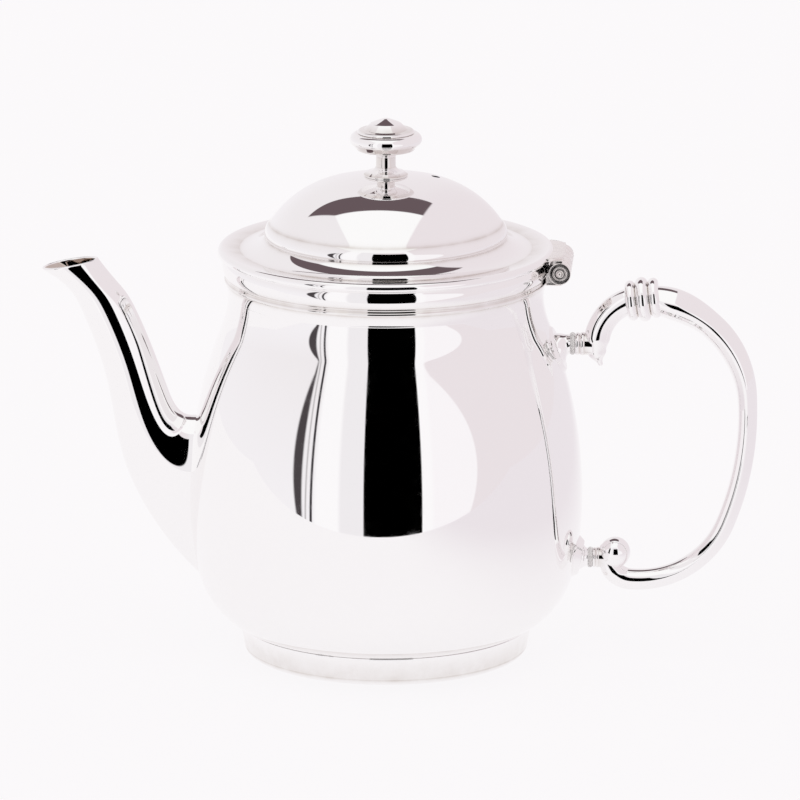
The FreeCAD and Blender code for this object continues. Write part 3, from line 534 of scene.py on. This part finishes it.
spout_outside, spout_inside = (
    from_vessel(lambda time, angle: spout_surface(time, angle, inset), spout_rows, spout_columns)
    for inset in (0, spout_wall)
)
mouth_rise = spout_over[-1] - spout_under[-1]
mouth_out = np.array((-mouth_rise[1], 0, mouth_rise[0])) / np.linalg.norm(mouth_rise)
lip_turn = np.radians((30, 60, 90, 120, 150))[:, None, None]
lip_middle = (spout_outside[-1] + spout_inside[-1]) / 2
lip_half = (spout_outside[-1] - spout_inside[-1]) / 2
spout_lip = lip_middle + np.cos(lip_turn) * lip_half + np.sin(lip_turn) * mouth_out * spout_wall / 2
one_column_more = ((0, 0), (0, 0), (0, 1))
bright_side = np.pad(np.concatenate([spout_outside, spout_lip]), one_column_more)
stained_side = np.pad(spout_inside[::-1], one_column_more, constant_values=spout_stain)
spout_grid = np.concatenate([bright_side, stained_side, bright_side[:1]])
piece("silver_spout", "pot", silver, "silver", "spout", spout_grid)

# Hinge on the pot: two knuckles on arms and a plate, soldered to the collar below the rim.
# A plain pin with dimpled ends is pressed through them and carries the lid's three knuckles.
# Hands and cloths wear the barrel to a softer, warmer sheen than the rest.
worn_silver = silver_plate("worn_silver", bright=0.16, dull=0.28, clean=(0.86, 0.82, 0.80))
knuckle_gap = 0.0002
pin_radius = 0.0020
leaf_drop = 0.0052
leaf_thickness = 0.0012
leaf_overhang = 0.0006
knuckle_ease = 0.00025
leaf_ease = 0.0004
block_ease = 0.0003
pin_ease = 0.0002
knuckle_step = knuckle_length + knuckle_gap
hinge_half = (knuckle_length * 5 + knuckle_gap * 4) / 2
quarter = np.linspace(0, np.pi / 2, 5)
quarters = np.concatenate([quarter + np.pi / 2 * number for number in range(4)])
quarter_middle = np.repeat((np.arange(4) + 0.5) * np.pi / 2, len(quarter))


def barrel(place, bore):
    """A knuckle of the hinge, counted from the near end: an eased ring turned about the hinge's axis."""
    start = -hinge_half + place * knuckle_step
    ring = outline([
        (bore, start),
        (knuckle_radius, start),
        (knuckle_radius, start + knuckle_length),
        (bore, start + knuckle_length),
    ], knuckle_ease)
    return turned(ring, barrel_segments, *hinge_axis)


def eased_block(low, high, soft):
    """A box with rounded edges: a ball of the radius soft, cut in eighths that are spread to the corners."""
    low, high = np.array(low), np.array(high)
    middle, half = (low + high) / 2, (high - low) / 2 - soft
    tilt = np.concatenate([quarter - np.pi / 2, quarter])[:, None]
    level = np.repeat((-1.0, 1.0), len(quarter))[:, None]
    round_up = points_of(np.cos(tilt) * np.cos(quarters), np.cos(tilt) * np.sin(quarters), np.sin(tilt))
    spread = points_of(np.sign(np.cos(quarter_middle)), np.sign(np.sin(quarter_middle)), level)
    box = middle + spread * half + round_up * soft
    foot, top = (np.broadcast_to((*middle[:2], side), (1,) + box.shape[1:]) for side in (low[2], high[2]))
    return np.concatenate([foot, box, top])


leaf_low = hinge_height - leaf_drop
leaf_grids = [eased_block(
    (neck_radius + wall, -hinge_half + knuckle_step, leaf_low),
    (hinge_reach + leaf_overhang, hinge_half - knuckle_step, leaf_low + leaf_thickness),
    leaf_ease,
)]
for place in (1, 3):
    arm_start = -hinge_half + place * knuckle_step
    leaf_grids.append(barrel(place, pin_radius))
    leaf_grids.append(eased_block(
        (neck_radius + wall, arm_start, leaf_low),
        (hinge_reach, arm_start + knuckle_length, hinge_height - pin_radius / 2),
        block_ease,
    ))
piece("silver_body_leaf", "pot", worn_silver, "silver", "body_hinge_leaf", *leaf_grids)

dimple_radius = pin_radius * 0.6
dimple_lift = pin_radius * 0.25
dimple_depth = dimple_radius - dimple_lift
dimple_edge = math.sqrt(dimple_radius ** 2 - dimple_lift ** 2)
pin_profile = outline([
    (0, dimple_depth - hinge_half),
    (dimple_edge, -hinge_half, -dimple_radius),
    (pin_radius, -hinge_half),
    (pin_radius, hinge_half),
    (dimple_edge, hinge_half),
    (0, hinge_half - dimple_depth, -dimple_radius),
], pin_ease, closed=False)
pin_grid = turned(pin_profile, barrel_segments, *hinge_axis)
piece("silver_hinge_pin", "pot", worn_silver, "silver", "hinge_pin", pin_grid)

# Handle sockets: two flanged trumpets, cast and soldered to the body, which the handle plugs into.
# Each has a pale washer that keeps the heat from the hand, and the handle's own ringed ferrule beyond it.
flange_buried = 0.0030
flange_rise = 0.0020
flange_ease = 0.0003
insulator_thickness = 0.0015
insulator_edge_curve = 0.0011
ferrule_buried = 0.0026
dowel_radius = 0.0012
arm_shoulder = 0.0085
arm_base = 0.0070
ring_ease = 0.00015
flange_rows = 80
trumpet_rows = 48
socket_columns = 96
washer_segments = 64
ferrule_segments = 96

# Radii as shares of the flange's diameter, then sizes as shares of the neck's or the throat's diameter.
flange_skirt = 0.665
flange_face = 0.39
trumpet_root = 0.31
trumpet_spring = 0.28
throat_share = 1.06
waist_share = 0.56
washer_share = 0.54
ring_share = 0.52
ferrule_share = 0.60

# Where the waist and the throat lie on the way from flange to washer, and the tilt that the waist keeps.
waist_way = 0.70
throat_way = 0.88
waist_tilt = 0.3
ring_bow = 0.62


def pale_washer():
    """Pale satin plastic: cloudy warm white, faintly yellowed where hands and tea have been."""
    material, tree, shader = new_material("pale_washer", {"IOR": 1.5})
    colour = mixed(tree, noise(tree, 420.0, 4.0), (0.98, 0.975, 0.96, 1), (0.94, 0.93, 0.90, 1))
    polish = placed(tree, buffing, Grain=900.0, Bright=0.12, Dull=0.25)
    tree.links.new(colour, shader.inputs["Base Color"])
    tree.links.new(polish["Roughness"], shader.inputs["Roughness"])
    return material


washer = pale_washer()


def handle_joint(name, axis, flange, neck, socket_end, arm_side):
    """One joint of the handle. The flange is (x, height, tilt, diameter), and the neck its diameter."""
    flange_x, flange_z, tilt, girth = flange
    throat = neck * throat_share
    seat = np.array((flange_x, flange_z))
    end = np.array((socket_end, axis))
    out = np.array((math.cos(tilt), math.sin(tilt)))
    cone = outline([
        (girth * flange_skirt, -flange_buried),
        (girth * flange_face, flange_rise),
        (0, flange_rise),
    ], flange_ease, closed=False)
    gone = np.concatenate([[0], np.cumsum(np.linalg.norm(np.diff(cone[:, :2], axis=0), axis=1))])
    marks = np.array([
        (*(seat - out * flange_buried), tilt, girth * trumpet_root),
        (*(seat + out * flange_rise), tilt, girth * trumpet_spring),
        (*(seat + (end - seat) * waist_way), tilt * waist_tilt, throat * waist_share),
        (*(seat + (end - seat) * throat_way), 0, throat / 2),
        (*end, 0, throat / 2),
    ])

    def hoop(x, z, heading, radius, angle):
        """A circle's points at an angle, square to a heading in the plane of spout and handle."""
        up = radius * np.cos(angle)
        return points_of(x - up * np.sin(heading), radius * np.sin(angle), z + up * np.cos(heading))

    def plate(time, angle):
        """The flange: a low cone up to its eased rim, and its face, as time runs along their outline."""
        radius, rise = (np.interp(time * gone[-1], gone, cone[:, column]) for column in (0, 1))
        return hoop(seat[0] + out[0] * rise, seat[1] + out[1] * rise, tilt, radius, angle)

    def trumpet(time, angle):
        """Circles square to a heading that turns from the flange's tilt to level as they close in."""
        x, z, heading, radius = np.moveaxis(smooth_line(marks, time), -1, 0)
        return hoop(x, z, heading, radius, angle)

    shells = []
    for surface, rows in ((plate, flange_rows), (trumpet, trumpet_rows)):
        shell = from_vessel(surface, rows, socket_columns)
        ends = [np.broadcast_to(row.mean(axis=0), shell[:1].shape) for row in (shell[0], shell[-1])]
        shells.append(np.concatenate([ends[0], shell, ends[1]]))
    piece(f"silver_{name}_socket", "pot", silver, "silver", f"{name}_socket", *shells)

    level = ((0, 0, axis), (1, 0, 0))
    washer_end = socket_end + insulator_thickness
    edge = neck * washer_share
    washer_ring = outline([
        (dowel_radius, socket_end),
        (edge, socket_end),
        (edge, washer_end, insulator_edge_curve),
        (dowel_radius, washer_end),
    ], ring_ease)
    washer_grid = turned(washer_ring, washer_segments, *level)
    piece(f"{name}_washer", "pot", washer, "insulator", f"{name}_insulator", washer_grid)

    bulge = (arm_side - washer_end) / 2
    ring_radius = neck * ring_share
    ferrule_radius = neck * ferrule_share
    neck_ring = outline([
        (dowel_radius, washer_end),
        (ring_radius, washer_end),
        (ring_radius, washer_end + bulge, bulge * ring_bow),
        ((ring_radius + ferrule_radius) / 2, arm_side, bulge * ring_bow),
        (ferrule_radius, arm_side + ferrule_buried),
        (dowel_radius, arm_side + ferrule_buried),
    ], ring_ease)
    ferrule_grid = turned(neck_ring, ferrule_segments, *level)
    piece(f"silver_{name}_ferrule", "pot", silver, "silver", f"{name}_ferrule", ferrule_grid)


handle_joint(
    "upper", axis=0.1037, flange=(0.0549, 0.1014, math.radians(20), 0.0185),
    neck=arm_shoulder * 0.74, socket_end=0.0602, arm_side=0.0649,
)
handle_joint(
    "lower", axis=0.0316, flange=(0.0623, 0.0319, math.radians(-11), 0.0142),
    neck=arm_base * 0.82, socket_end=0.0664, arm_side=0.0700,
)

# Handle: a C-scroll cast in one piece, plated and buffed, with a horn at its upper end and a volute below.
# A low keel runs along either side of the arm. A collar of three beads is slipped round its crown, and
# a ball is soldered into the volute.
crown_place = (0.0854, 0.1190)
crown_heading = math.radians(-4)
arm_arcs = [(0.0351, 82.5), (0.0977, 25.4), (0.0310, 71.6), (0.0086, 95.0)]
horn_arc = (0.0156, 118.0)
girth_travel = np.array((0.0, 4.0, 9.0, 30.0, 41.0, 56.0, 88.0, 135.0, 170.0, 179.0)) / 1000
girths = np.array((1.6, 6.12, 8.5, 8.5, 10.4, 8.5, 6.3, 6.3, 7.0, 5.04)) / 1000
keel_travel = np.array((0.0, 29.0, 38.0, 135.0, 165.0, 179.0)) / 1000
keels = np.array((0, 0, 0.17, 0.15, 0.04, 0))
keel_power = 16
arm_columns = 144
arm_end_rows = 10


def arc_chain(place, heading, arcs):
    """Places, headings and travel along tangent arcs that turn right, each (radius, turn in degrees)."""
    tracks = []
    start = np.array(place)
    gone = 0.0
    for radius, turn in arcs:
        share = np.linspace(0, math.radians(turn), round(math.radians(turn) / turn_step))
        now = heading - share
        step = radius * np.stack([np.sin(heading) - np.sin(now), np.cos(now) - np.cos(heading)], axis=1)
        tracks.append(np.column_stack([start + step, now, gone + radius * share])[1:])
        start = tracks[-1][-1, :2]
        heading = now[-1]
        gone += radius * share[-1]
    return np.vstack(tracks)


horn_radius, horn_turn = horn_arc
horn = arc_chain((crown_place[0], -crown_place[1]), -crown_heading + math.pi, [horn_arc])
horn_length = horn_radius * math.radians(horn_turn)
horn = np.column_stack([horn[:, 0], -horn[:, 1], -horn[:, 2] - math.pi, horn_length - horn[:, 3]])[::-1]
crown = np.array([(*crown_place, crown_heading, horn_length)])
back = arc_chain(crown_place, crown_heading, arm_arcs)
back[:, 3] += horn_length
arm_line = np.vstack([horn, crown, back])


def swept(line, radius, keel, columns):
    """A bar along a line of (x, z, heading, travel), closed by half balls at both ends.

    Its section is round but for a keel on either side, where the radius grows by the share keel times a
    high power of the angle's sine.
    """
    turn = np.linspace(np.pi / 2, 0, arm_end_rows)[:, None]
    first, last = line[:1], line[-1:]
    into = np.column_stack([np.cos(first[:, 2]), np.sin(first[:, 2])])
    onward = np.column_stack([np.cos(last[:, 2]), np.sin(last[:, 2])])
    head = first[:, :2] - radius[0] * np.sin(turn) * into
    tail = last[:, :2] + radius[-1] * np.sin(turn[::-1]) * onward
    middle = np.vstack([head, line[:, :2], tail])
    heading = np.concatenate([np.full(len(turn), line[0, 2]), line[:, 2], np.full(len(turn), line[-1, 2])])
    girth = np.concatenate([radius[0] * np.cos(turn[:, 0]), radius, radius[-1] * np.cos(turn[::-1, 0])])
    angle = np.linspace(0, 2 * np.pi, columns, endpoint=False)
    ridge = np.pad(keel, len(turn), mode="edge")[:, None] * np.sin(angle) ** keel_power
    swell = girth[:, None] * (1 + ridge)
    up = swell * np.cos(angle)
    x = middle[:, :1] - up * np.sin(heading)[:, None]
    z = middle[:, 1:] + up * np.cos(heading)[:, None]
    return points_of(x, swell * np.sin(angle), z)


def eased_steps(at, places, values):
    """Values that pass from one listed place to the next along a curve with level ends."""
    stretch = np.clip(np.searchsorted(places, at) - 1, 0, len(places) - 2)
    share = (at - places[stretch]) / (places[stretch + 1] - places[stretch])
    return values[stretch] + (values[stretch + 1] - values[stretch]) * share * share * (3 - 2 * share)


arm_radius = eased_steps(arm_line[:, 3], girth_travel, girths) / 2
arm_keel = eased_steps(arm_line[:, 3], keel_travel, keels)
arm_grid = swept(arm_line, arm_radius, arm_keel, arm_columns)
piece("silver_handle", "pot", silver, "silver", "handle_arm", arm_grid)

bead_spans = (0.0034, 0.0042, 0.0034)
bead_girths = (0.0132, 0.0150, 0.0132)
bead_groove = 0.0053
bead_place = (0.07835, 0, 0.1181)
bead_tilt = math.radians(8)
bead_ease = 0.0001
bead_segments = 96
bead_corners = [(0, 0), (bead_groove, 0)]
bead_at = 0.0
for span, girth in zip(bead_spans, bead_girths):
    bead_at += span
    swell = girth / 2 - bead_groove
    bead_corners.append((bead_groove, bead_at, swell / 2 + span ** 2 / (8 * swell)))
bead_profile = outline(bead_corners + [(0, bead_at)], bead_ease, closed=False)
bead_heading = (math.cos(bead_tilt), 0, math.sin(bead_tilt))
bead_grid = turned(bead_profile, bead_segments, bead_place, bead_heading)
piece("silver_beads", "pot", silver, "silver", "handle_beads", bead_grid)

ball_radius = 0.0051
ball_place = (0.0752, 0, 0.0334)
ball_segments = 64
ball_profile = outline([(0, -ball_radius), (0, ball_radius, ball_radius)], 0, closed=False)
ball_grid = turned(ball_profile, ball_segments, ball_place, (0, 1, 0))
piece("silver_ball", "pot", silver, "silver", "scroll_ball", ball_grid)

# Lid: a spun dome with an upright step ring, a broad cove and a rolled brim, and a small drilled vent.
# A plain bezel soldered under the brim keeps it centred in the mouth.
lid_gap = 0.0002
lid_sheet = 0.0010
brim_radius = 0.0548
brim_thickness = 0.0022
dome_height = 0.1593
dome_crown_curve = 0.0800
dome_crown_radius = 0.0180
dome_side_curve = 0.0330
dome_foot_radius = 0.0380
dome_foot_height = 0.1434
step_reach = 0.0013
step_drop = 0.0049
step_curve = 0.0047
cove_reach = 0.0098
cove_curve = 0.0130
vent_diameter = 0.0028
vent_reach = 0.0170
vent_bearing = math.radians(21)
stud_radius = 0.0015
bezel_radius = 0.0490
bezel_depth = 0.0060
brim_roll = 0.0016
brim_dish = 0.00052
lid_ease = 0.00015
bezel_ease = 0.0004
vent_segments = 32
brim_under = mouth_height + lid_gap
brim_top = brim_under + brim_thickness


def crown_drop(radius):
    """How far the crown's arc has fallen from its top at a radius."""
    return dome_crown_curve - math.sqrt(dome_crown_curve ** 2 - radius ** 2)


crown_height = dome_height - crown_drop(dome_crown_radius)
brim_lip = brim_top + brim_dish
brim_turn = brim_lip - brim_roll - brim_under
cove_end = dome_foot_radius + cove_reach
step_side = dome_foot_radius + step_reach
step_under = dome_foot_height - step_drop

# The inner corners, from the brim's underside on, lie about a sheet's thickness in from the outer ones.
lid_profile = outline([
    (stud_radius, dome_height - crown_drop(stud_radius)),
    (dome_crown_radius, crown_height, -dome_crown_curve),
    (dome_foot_radius, dome_foot_height, -dome_side_curve),
    (step_side, step_under, -step_curve),
    (cove_end, brim_top, cove_curve),
    (brim_radius - brim_roll, brim_lip),
    (brim_radius, brim_lip - brim_roll, -brim_roll),
    (brim_radius - brim_turn, brim_under, -brim_turn),
    (cove_end - lid_sheet * 0.4, brim_under),
    (cove_end - lid_sheet, brim_top - lid_sheet),
    (step_side - lid_sheet * 0.7, step_under - lid_sheet * 1.1, -cove_curve - lid_sheet),
    (dome_foot_radius - lid_sheet * 0.8, dome_foot_height - lid_sheet * 0.9, step_curve - lid_sheet * 0.1),
    (dome_crown_radius - lid_sheet * 0.2, crown_height - lid_sheet, dome_side_curve - lid_sheet),
    (stud_radius, dome_height - lid_sheet - crown_drop(stud_radius), dome_crown_curve - lid_sheet),
], lid_ease)
lid = piece("silver_lid", "lid", silver, "silver", "lid_shell", turned(lid_profile, body_segments))
vent_place = (vent_reach * math.cos(vent_bearing), vent_reach * math.sin(vent_bearing), 0)
pierce(lid, cylinder(vent_diameter / 2, brim_top, dome_height, 0, vent_segments, vent_place))

bezel_profile = outline([
    (bezel_radius - lid_sheet, brim_under),
    (bezel_radius - lid_sheet, brim_under - bezel_depth),
    (bezel_radius, brim_under - bezel_depth),
    (bezel_radius, brim_under),
], bezel_ease)
piece("silver_bezel", "lid", silver, "silver", "lid_bezel", turned(bezel_profile, body_segments))

# Hinge on the lid: a round-cornered tab brazed to the brim, with three knuckles hung under it.
# They turn on the pot's pin with a little clearance.
pin_clearance = 0.00005
tab_overhang = 0.0014
tab_corner = 0.0065
tab_soft = 0.00035
tab_corner_rows = 13
web_width = 0.0042
web_front = 0.0022
web_back = 0.0010
web_foot = 0.0024
tab_under = hinge_height + knuckle_radius + hinge_relief


def tab_grid():
    """The tab: rounded upright sections from the brim's edge to its own outer edge, side by side along Y."""
    corner = tab_corner * (1 - np.cos(np.linspace(0, np.pi / 2, tab_corner_rows)))
    near_half = np.concatenate([[-hinge_half], corner - hinge_half])
    along = np.concatenate([near_half, -near_half[::-1]])[:, None]
    into_corner = np.clip(np.abs(along) - hinge_half + tab_corner, 0, tab_corner)
    outer = hinge_reach + tab_overhang - tab_corner + np.sqrt(tab_corner ** 2 - into_corner ** 2)
    inner = np.minimum(np.sqrt((brim_radius - brim_roll / 2) ** 2 - along ** 2), outer - 2 * tab_soft)
    centre_x = np.where(np.cos(quarter_middle) > 0, outer - tab_soft, inner + tab_soft)
    centre_z = np.where(np.sin(quarter_middle) > 0, brim_top - tab_soft, tab_under + tab_soft)
    grid = points_of(centre_x + tab_soft * np.cos(quarters), along, centre_z + tab_soft * np.sin(quarters))
    grid[[0, -1]] = grid[[0, -1]].mean(axis=1, keepdims=True)
    return grid


lid_leaf_grids = [tab_grid()]
for place in (0, 2, 4):
    web_start = -hinge_half + place * knuckle_step + (knuckle_length - web_width) / 2
    lid_leaf_grids.append(barrel(place, pin_radius + pin_clearance))
    lid_leaf_grids.append(eased_block(
        (hinge_reach - web_front, web_start, hinge_height + web_foot),
        (hinge_reach + web_back, web_start + web_width, tab_under + tab_soft),
        block_ease,
    ))
piece("silver_lid_leaf", "lid", worn_silver, "silver", "lid_hinge_leaf", *lid_leaf_grids)

# Finial: a turned knob of three pieces, a flared base with its stem, a cup and a peaked cap.
# A brass stud holds them to the dome with a washer and a nut inside the lid.
finial_foot = 0.0070
finial_edge = 0.0007
finial_edge_curve = 0.0004
finial_flare = 0.0011
finial_flare_rise = 0.0015
finial_stem = 0.0032
finial_stem_rise = 0.0032
finial_stem_curve = 0.0032
finial_neck = 0.0007
finial_neck_height = 0.0011
finial_neck_curve = 0.0016
finial_height = 0.1781
knob_base = 0.1663
knob_radius = 0.01175
knob_rim = 0.0047
knob_lip = 0.0092
knob_lip_rise = 0.0014
knob_lip_height = 0.0005
knob_lip_curve = 0.0004
knob_band = 0.00075
knob_band_height = 0.0014
knob_band_curve = 0.0017
knob_shoulder_curve = 0.00226
cap_height = 0.0049
cap_seat = 0.0090
cap_edge = 0.0003
cap_bead = 0.0008
cap_bead_width = 0.0009
cap_ledge = 0.0070
cap_ledge_rise = 0.00012
cap_ridge = 0.0049
cap_ridge_drop = 0.00165
cap_crown_curve = 0.0335
cap_tip = 0.0012
cap_tip_drop = 0.0002
finial_ease = 0.0001
finial_segments = 128
finial_rest = dome_height - crown_drop(finial_foot)
cup_rim = knob_base + knob_rim
cap_base = finial_height - cap_height
tip_curve = (cap_tip ** 2 + cap_tip_drop ** 2) / (2 * cap_tip_drop)
base_profile = outline([
    (stud_radius, dome_height - crown_drop(stud_radius)),
    (finial_foot, finial_rest, -dome_crown_curve),
    (finial_foot, finial_rest + finial_edge, finial_edge_curve),
    (finial_foot - finial_flare, finial_rest + finial_flare_rise),
    (finial_stem, finial_rest + finial_stem_rise, -finial_stem_curve),
    (finial_stem, knob_base - finial_neck_height),
    (finial_stem + finial_neck, knob_base, -finial_neck_curve),
    (stud_radius, knob_base),
], finial_ease)
cup_profile = outline([
    (stud_radius, knob_base),
    (finial_stem + finial_neck, knob_base),
    (knob_lip, knob_base + knob_lip_rise),
    (knob_lip + knob_lip_height / 2, knob_base + knob_lip_rise + knob_lip_height, knob_lip_curve),
    (knob_radius - knob_band, cup_rim - knob_band_height),
    (knob_radius, cup_rim, knob_band_curve),
    (cap_seat, cap_base, knob_shoulder_curve),
    (stud_radius, cap_base),
], finial_ease)
cap_profile = outline([
    (0, cap_base),
    (cap_seat, cap_base),
    (cap_seat + cap_edge, cap_base + cap_edge),
    (cap_seat + cap_edge - cap_bead_width, cap_base + cap_edge + cap_bead, cap_bead_width),
    (cap_ledge, cap_base + cap_edge + cap_bead + cap_ledge_rise),
    (cap_ridge, finial_height - cap_ridge_drop),
    (cap_tip, finial_height - cap_tip_drop, cap_crown_curve),
    (0, finial_height, tip_curve),
], finial_ease, closed=False)
for name, profile in (("base", base_profile), ("cup", cup_profile), ("cap", cap_profile)):
    knob_grid = turned(profile, finial_segments)
    piece(f"silver_finial_{name}", "lid", silver, "silver", f"finial_{name}", knob_grid)

# Fixings: the finial's stud, washer and nut and the handle's two dowels, plain turned brass.
# They are hidden once the pot is put together, but for the nut inside the lid.


def turned_brass():
    """Plain brass: a dull yellow metal, browned in patches and unevenly polished."""
    material, tree, shader = new_material("turned_brass", {"Metallic": 1.0})
    film = placed(tree, tarnish, Clean=(0.80, 0.66, 0.36, 1), Film=(0.36, 0.24, 0.10, 1), Clouds=0.6)
    polish = placed(tree, buffing, Grain=800.0, Bright=0.22, Dull=0.42)
    tree.links.new(film["Colour"], shader.inputs["Base Color"])
    tree.links.new(polish["Roughness"], shader.inputs["Roughness"])
    return material


brass = turned_brass()
for name in ("finial_stud", "finial_washer", "finial_nut", "upper_dowel", "lower_dowel"):
    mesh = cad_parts[name].data
    mesh.materials.clear()
    mesh.materials.append(brass)

# Table: a plain pale sheet, close in front of the pot and far behind it.
# Camera and mirror rays see it near white, with the pot's own shadow left on it, and mirror rays see a
# painted shade on it, which falls off to a greyer pink on the handle's side.
table_front = 0.30
table_back = 2.4
table_side = 1.8
shade_start = 0.03
shade_end = 0.27
paper_share = 0.88
table_corners = [
    (-table_side, -table_front, 0),
    (table_side, -table_front, 0),
    (table_side, table_back, 0),
    (-table_side, table_back, 0),
]
table_mesh = bpy.data.meshes.new("table")
table_mesh.from_pydata(table_corners, [], [(0, 1, 2, 3)])
table = bpy.data.objects.new("table", table_mesh)
scene.collection.objects.link(table)
sheet, tree, shader = new_material("pale_table", {"Base Color": (0.9, 0.88, 0.89, 1), "Roughness": 0.9})
seen = node(tree, "ShaderNodeLightPath").outputs
looked_at = sum_of(tree, "MAXIMUM", seen["Is Camera Ray"], seen["Is Glossy Ray"])
place = node(tree, "ShaderNodeTexCoord").outputs["Object"]
# Painted shade: for mirror rays only, the sheet's colour darkens to a greyer pink along x, towards the
# handle's side.
shaded = node(tree, "ShaderNodeMapRange", interpolation_type="SMOOTHSTEP", inputs={
    "Value": node(tree, "ShaderNodeSeparateXYZ", inputs={0: place}).outputs["X"],
    "From Min": shade_start, "From Max": shade_end,
})
mirrored = sum_of(tree, "MULTIPLY", shaded.outputs["Result"], seen["Is Glossy Ray"])
paper_and_painted_shade = mixed(tree, mirrored, (1, 0.985, 0.997, 1), (0.87, 0.82, 0.855, 1))
glow = node(tree, "ShaderNodeEmission", inputs={"Color": paper_and_painted_shade, "Strength": 1.0})
both = node(tree, "ShaderNodeMixShader", inputs={
    0: sum_of(tree, "MULTIPLY", looked_at, paper_share), 1: shader.outputs[0], 2: glow.outputs[0],
})
tree.links.new(both.outputs[0], tree.nodes["Material Output"].inputs["Surface"])
table_mesh.materials.append(sheet)

# Light: a pale tent round the pot, with a bright panel overhead, a gap behind it and a dark opening in front.
# The world draws it by direction, from the azimuth off the front and the height, both in degrees, and from
# places on the tent's ceiling, one metre up.
world = bpy.data.worlds.new("tent")
scene.world = world
world.use_nodes = True
tree = world.node_tree
window_low = -60.0
window_high = 36.0
flap_high = 27.0
ceiling_blur = 0.015
least_rise = 0.05


def above(value, edge, blur):
    """1 where a value is above an edge and 0 below it, passing smoothly within the blur."""
    low, high = (sum_of(tree, "ADD", edge, side) for side in (-blur, blur))
    return node(tree, "ShaderNodeMapRange", interpolation_type="SMOOTHSTEP", inputs={
        "Value": value, "From Min": low, "From Max": high,
    }).outputs["Result"]


def between(value, low, high, blur):
    """1 where a value lies between two edges."""
    return sum_of(tree, "SUBTRACT", above(value, low, blur), above(value, high, blur))


def bowed(middle, bend, level):
    """An upright edge that bends away from a middle azimuth with the square of the height over a level."""
    off = sum_of(tree, "SUBTRACT", height, level)
    return sum_of(tree, "ADD", sum_of(tree, "MULTIPLY", sum_of(tree, "MULTIPLY", off, off), bend), middle)


def beyond(across, along, edge):
    """1 past a straight edge on the ceiling, where across times x plus along times y is over the edge."""
    sideways = sum_of(tree, "MULTIPLY", ceiling_x, across)
    onward = sum_of(tree, "MULTIPLY", ceiling_y, along)
    return above(sum_of(tree, "ADD", sideways, onward), edge, ceiling_blur)


look = node(tree, "ShaderNodeTexCoord").outputs["Generated"]
aim = node(tree, "ShaderNodeSeparateXYZ", inputs={0: look}).outputs
front = sum_of(tree, "MULTIPLY", aim["Y"], -1.0)
azimuth = sum_of(tree, "MULTIPLY", sum_of(tree, "ARCTAN2", aim["X"], front), math.degrees(1))
height = sum_of(tree, "MULTIPLY", sum_of(tree, "ARCSINE", aim["Z"]), math.degrees(1))
rise = sum_of(tree, "MAXIMUM", aim["Z"], least_rise)
ceiling_x = sum_of(tree, "DIVIDE", aim["X"], rise)
ceiling_y = sum_of(tree, "DIVIDE", aim["Y"], rise)
overhead = above(aim["Z"], 0.1, 0.02)
flap_height = between(height, window_low, flap_high, 1.5)

# Each card is its colour and the masks that bound it, from the right of the dark opening to its left, then
# the opening itself, the bright panel and the gap behind it. A later card covers an earlier one.
cards = [
    ((0.98, 0.955, 0.975), [
        between(azimuth, 24.0, bowed(59.0, -0.05, 2.0), 0.6),
        between(height, window_low, 28.0, 2.0),
    ]),
    ((1.0, 0.99, 1.0), [between(azimuth, 24.0, 31.0, 1.5)]),
    ((0.89, 0.87, 0.89), [between(azimuth, -24.0, -8.0, 2.0)]),
    ((1.0, 0.99, 1.0), [between(azimuth, -38.5, -24.0, 1.5)]),
    ((0.04, 0.035, 0.04), [between(azimuth, -41.5, -40.0, 0.4), flap_height]),
    ((0.55, 0.53, 0.54), [between(azimuth, -44.6, -43.6, 0.4), flap_height]),
    ((0.07, 0.06, 0.065), [
        between(azimuth, bowed(-53.0, 0.018, 4.0), bowed(-47.0, 0.004, 4.0), 0.8),
        between(height, window_low, 25.0, 1.0),
    ]),
    ((0.0, 0.0, 0.0), [
        between(azimuth, -9.5, 24.5, 0.4),
        between(height, window_low, window_high, 0.5),
    ]),
    ((1.0, 1.0, 1.0), [
        between(ceiling_x, -0.54, 0.35, ceiling_blur),
        between(ceiling_y, -0.9, 0.30, ceiling_blur),
        overhead,
    ]),
    ((0.135, 0.098, 0.108), [
        beyond(0.056, 1.0, 0.29),
        beyond(0.42, 0.45, -0.083),
        beyond(0.277, -1.0, -1.014),
        beyond(-0.6, -1.0, -0.97),
        beyond(-1.0, 0.0, -0.35),
        overhead,
    ]),
]
left_wall = mixed(tree, above(height, 10.0, 22.0), (0.935, 0.915, 0.94, 1), (0.885, 0.855, 0.87, 1))
colour = mixed(tree, above(aim["X"], 0.0, 0.35), left_wall, (0.845, 0.785, 0.81, 1))
for tone, masks in cards:
    mask = masks[0]
    for other in masks[1:]:
        mask = sum_of(tree, "MULTIPLY", mask, other)
    colour = mixed(tree, mask, colour, (*tone, 1))
straight = node(tree, "ShaderNodeLightPath").outputs["Is Camera Ray"]
backdrop = mixed(tree, straight, colour, (1, 0.99, 0.995, 1))
tree.links.new(backdrop, tree.nodes["Background"].inputs["Color"])

# Camera: a long lens from the front, a little to the handle's side and from above, as in the photograph.
# It is aimed beside its target, so that the pot sits in the frame as it does there.
camera_distance = 2.6
camera_azimuth = math.radians(3.5)
camera_height = math.radians(14.9)
camera_target = Vector((0, 0, 0.060))
frame_right = 0.0046
frame_up = 0.0230
lens_length = 357
sensor_width = 36
lens = bpy.data.cameras.new("camera")
lens.lens = lens_length
lens.sensor_width = sensor_width
camera = bpy.data.objects.new("camera", lens)
scene.collection.objects.link(camera)
toward = Vector((
    math.sin(camera_azimuth) * math.cos(camera_height),
    -math.cos(camera_azimuth) * math.cos(camera_height),
    math.sin(camera_height),
))
right = Vector((math.cos(camera_azimuth), math.sin(camera_azimuth), 0))
camera.location = camera_target + toward * camera_distance
aimed_at = camera_target + right * frame_right + toward.cross(right) * frame_up
camera.rotation_euler = (aimed_at - camera.location).to_track_quat("-Z", "Y").to_euler()
scene.camera = camera
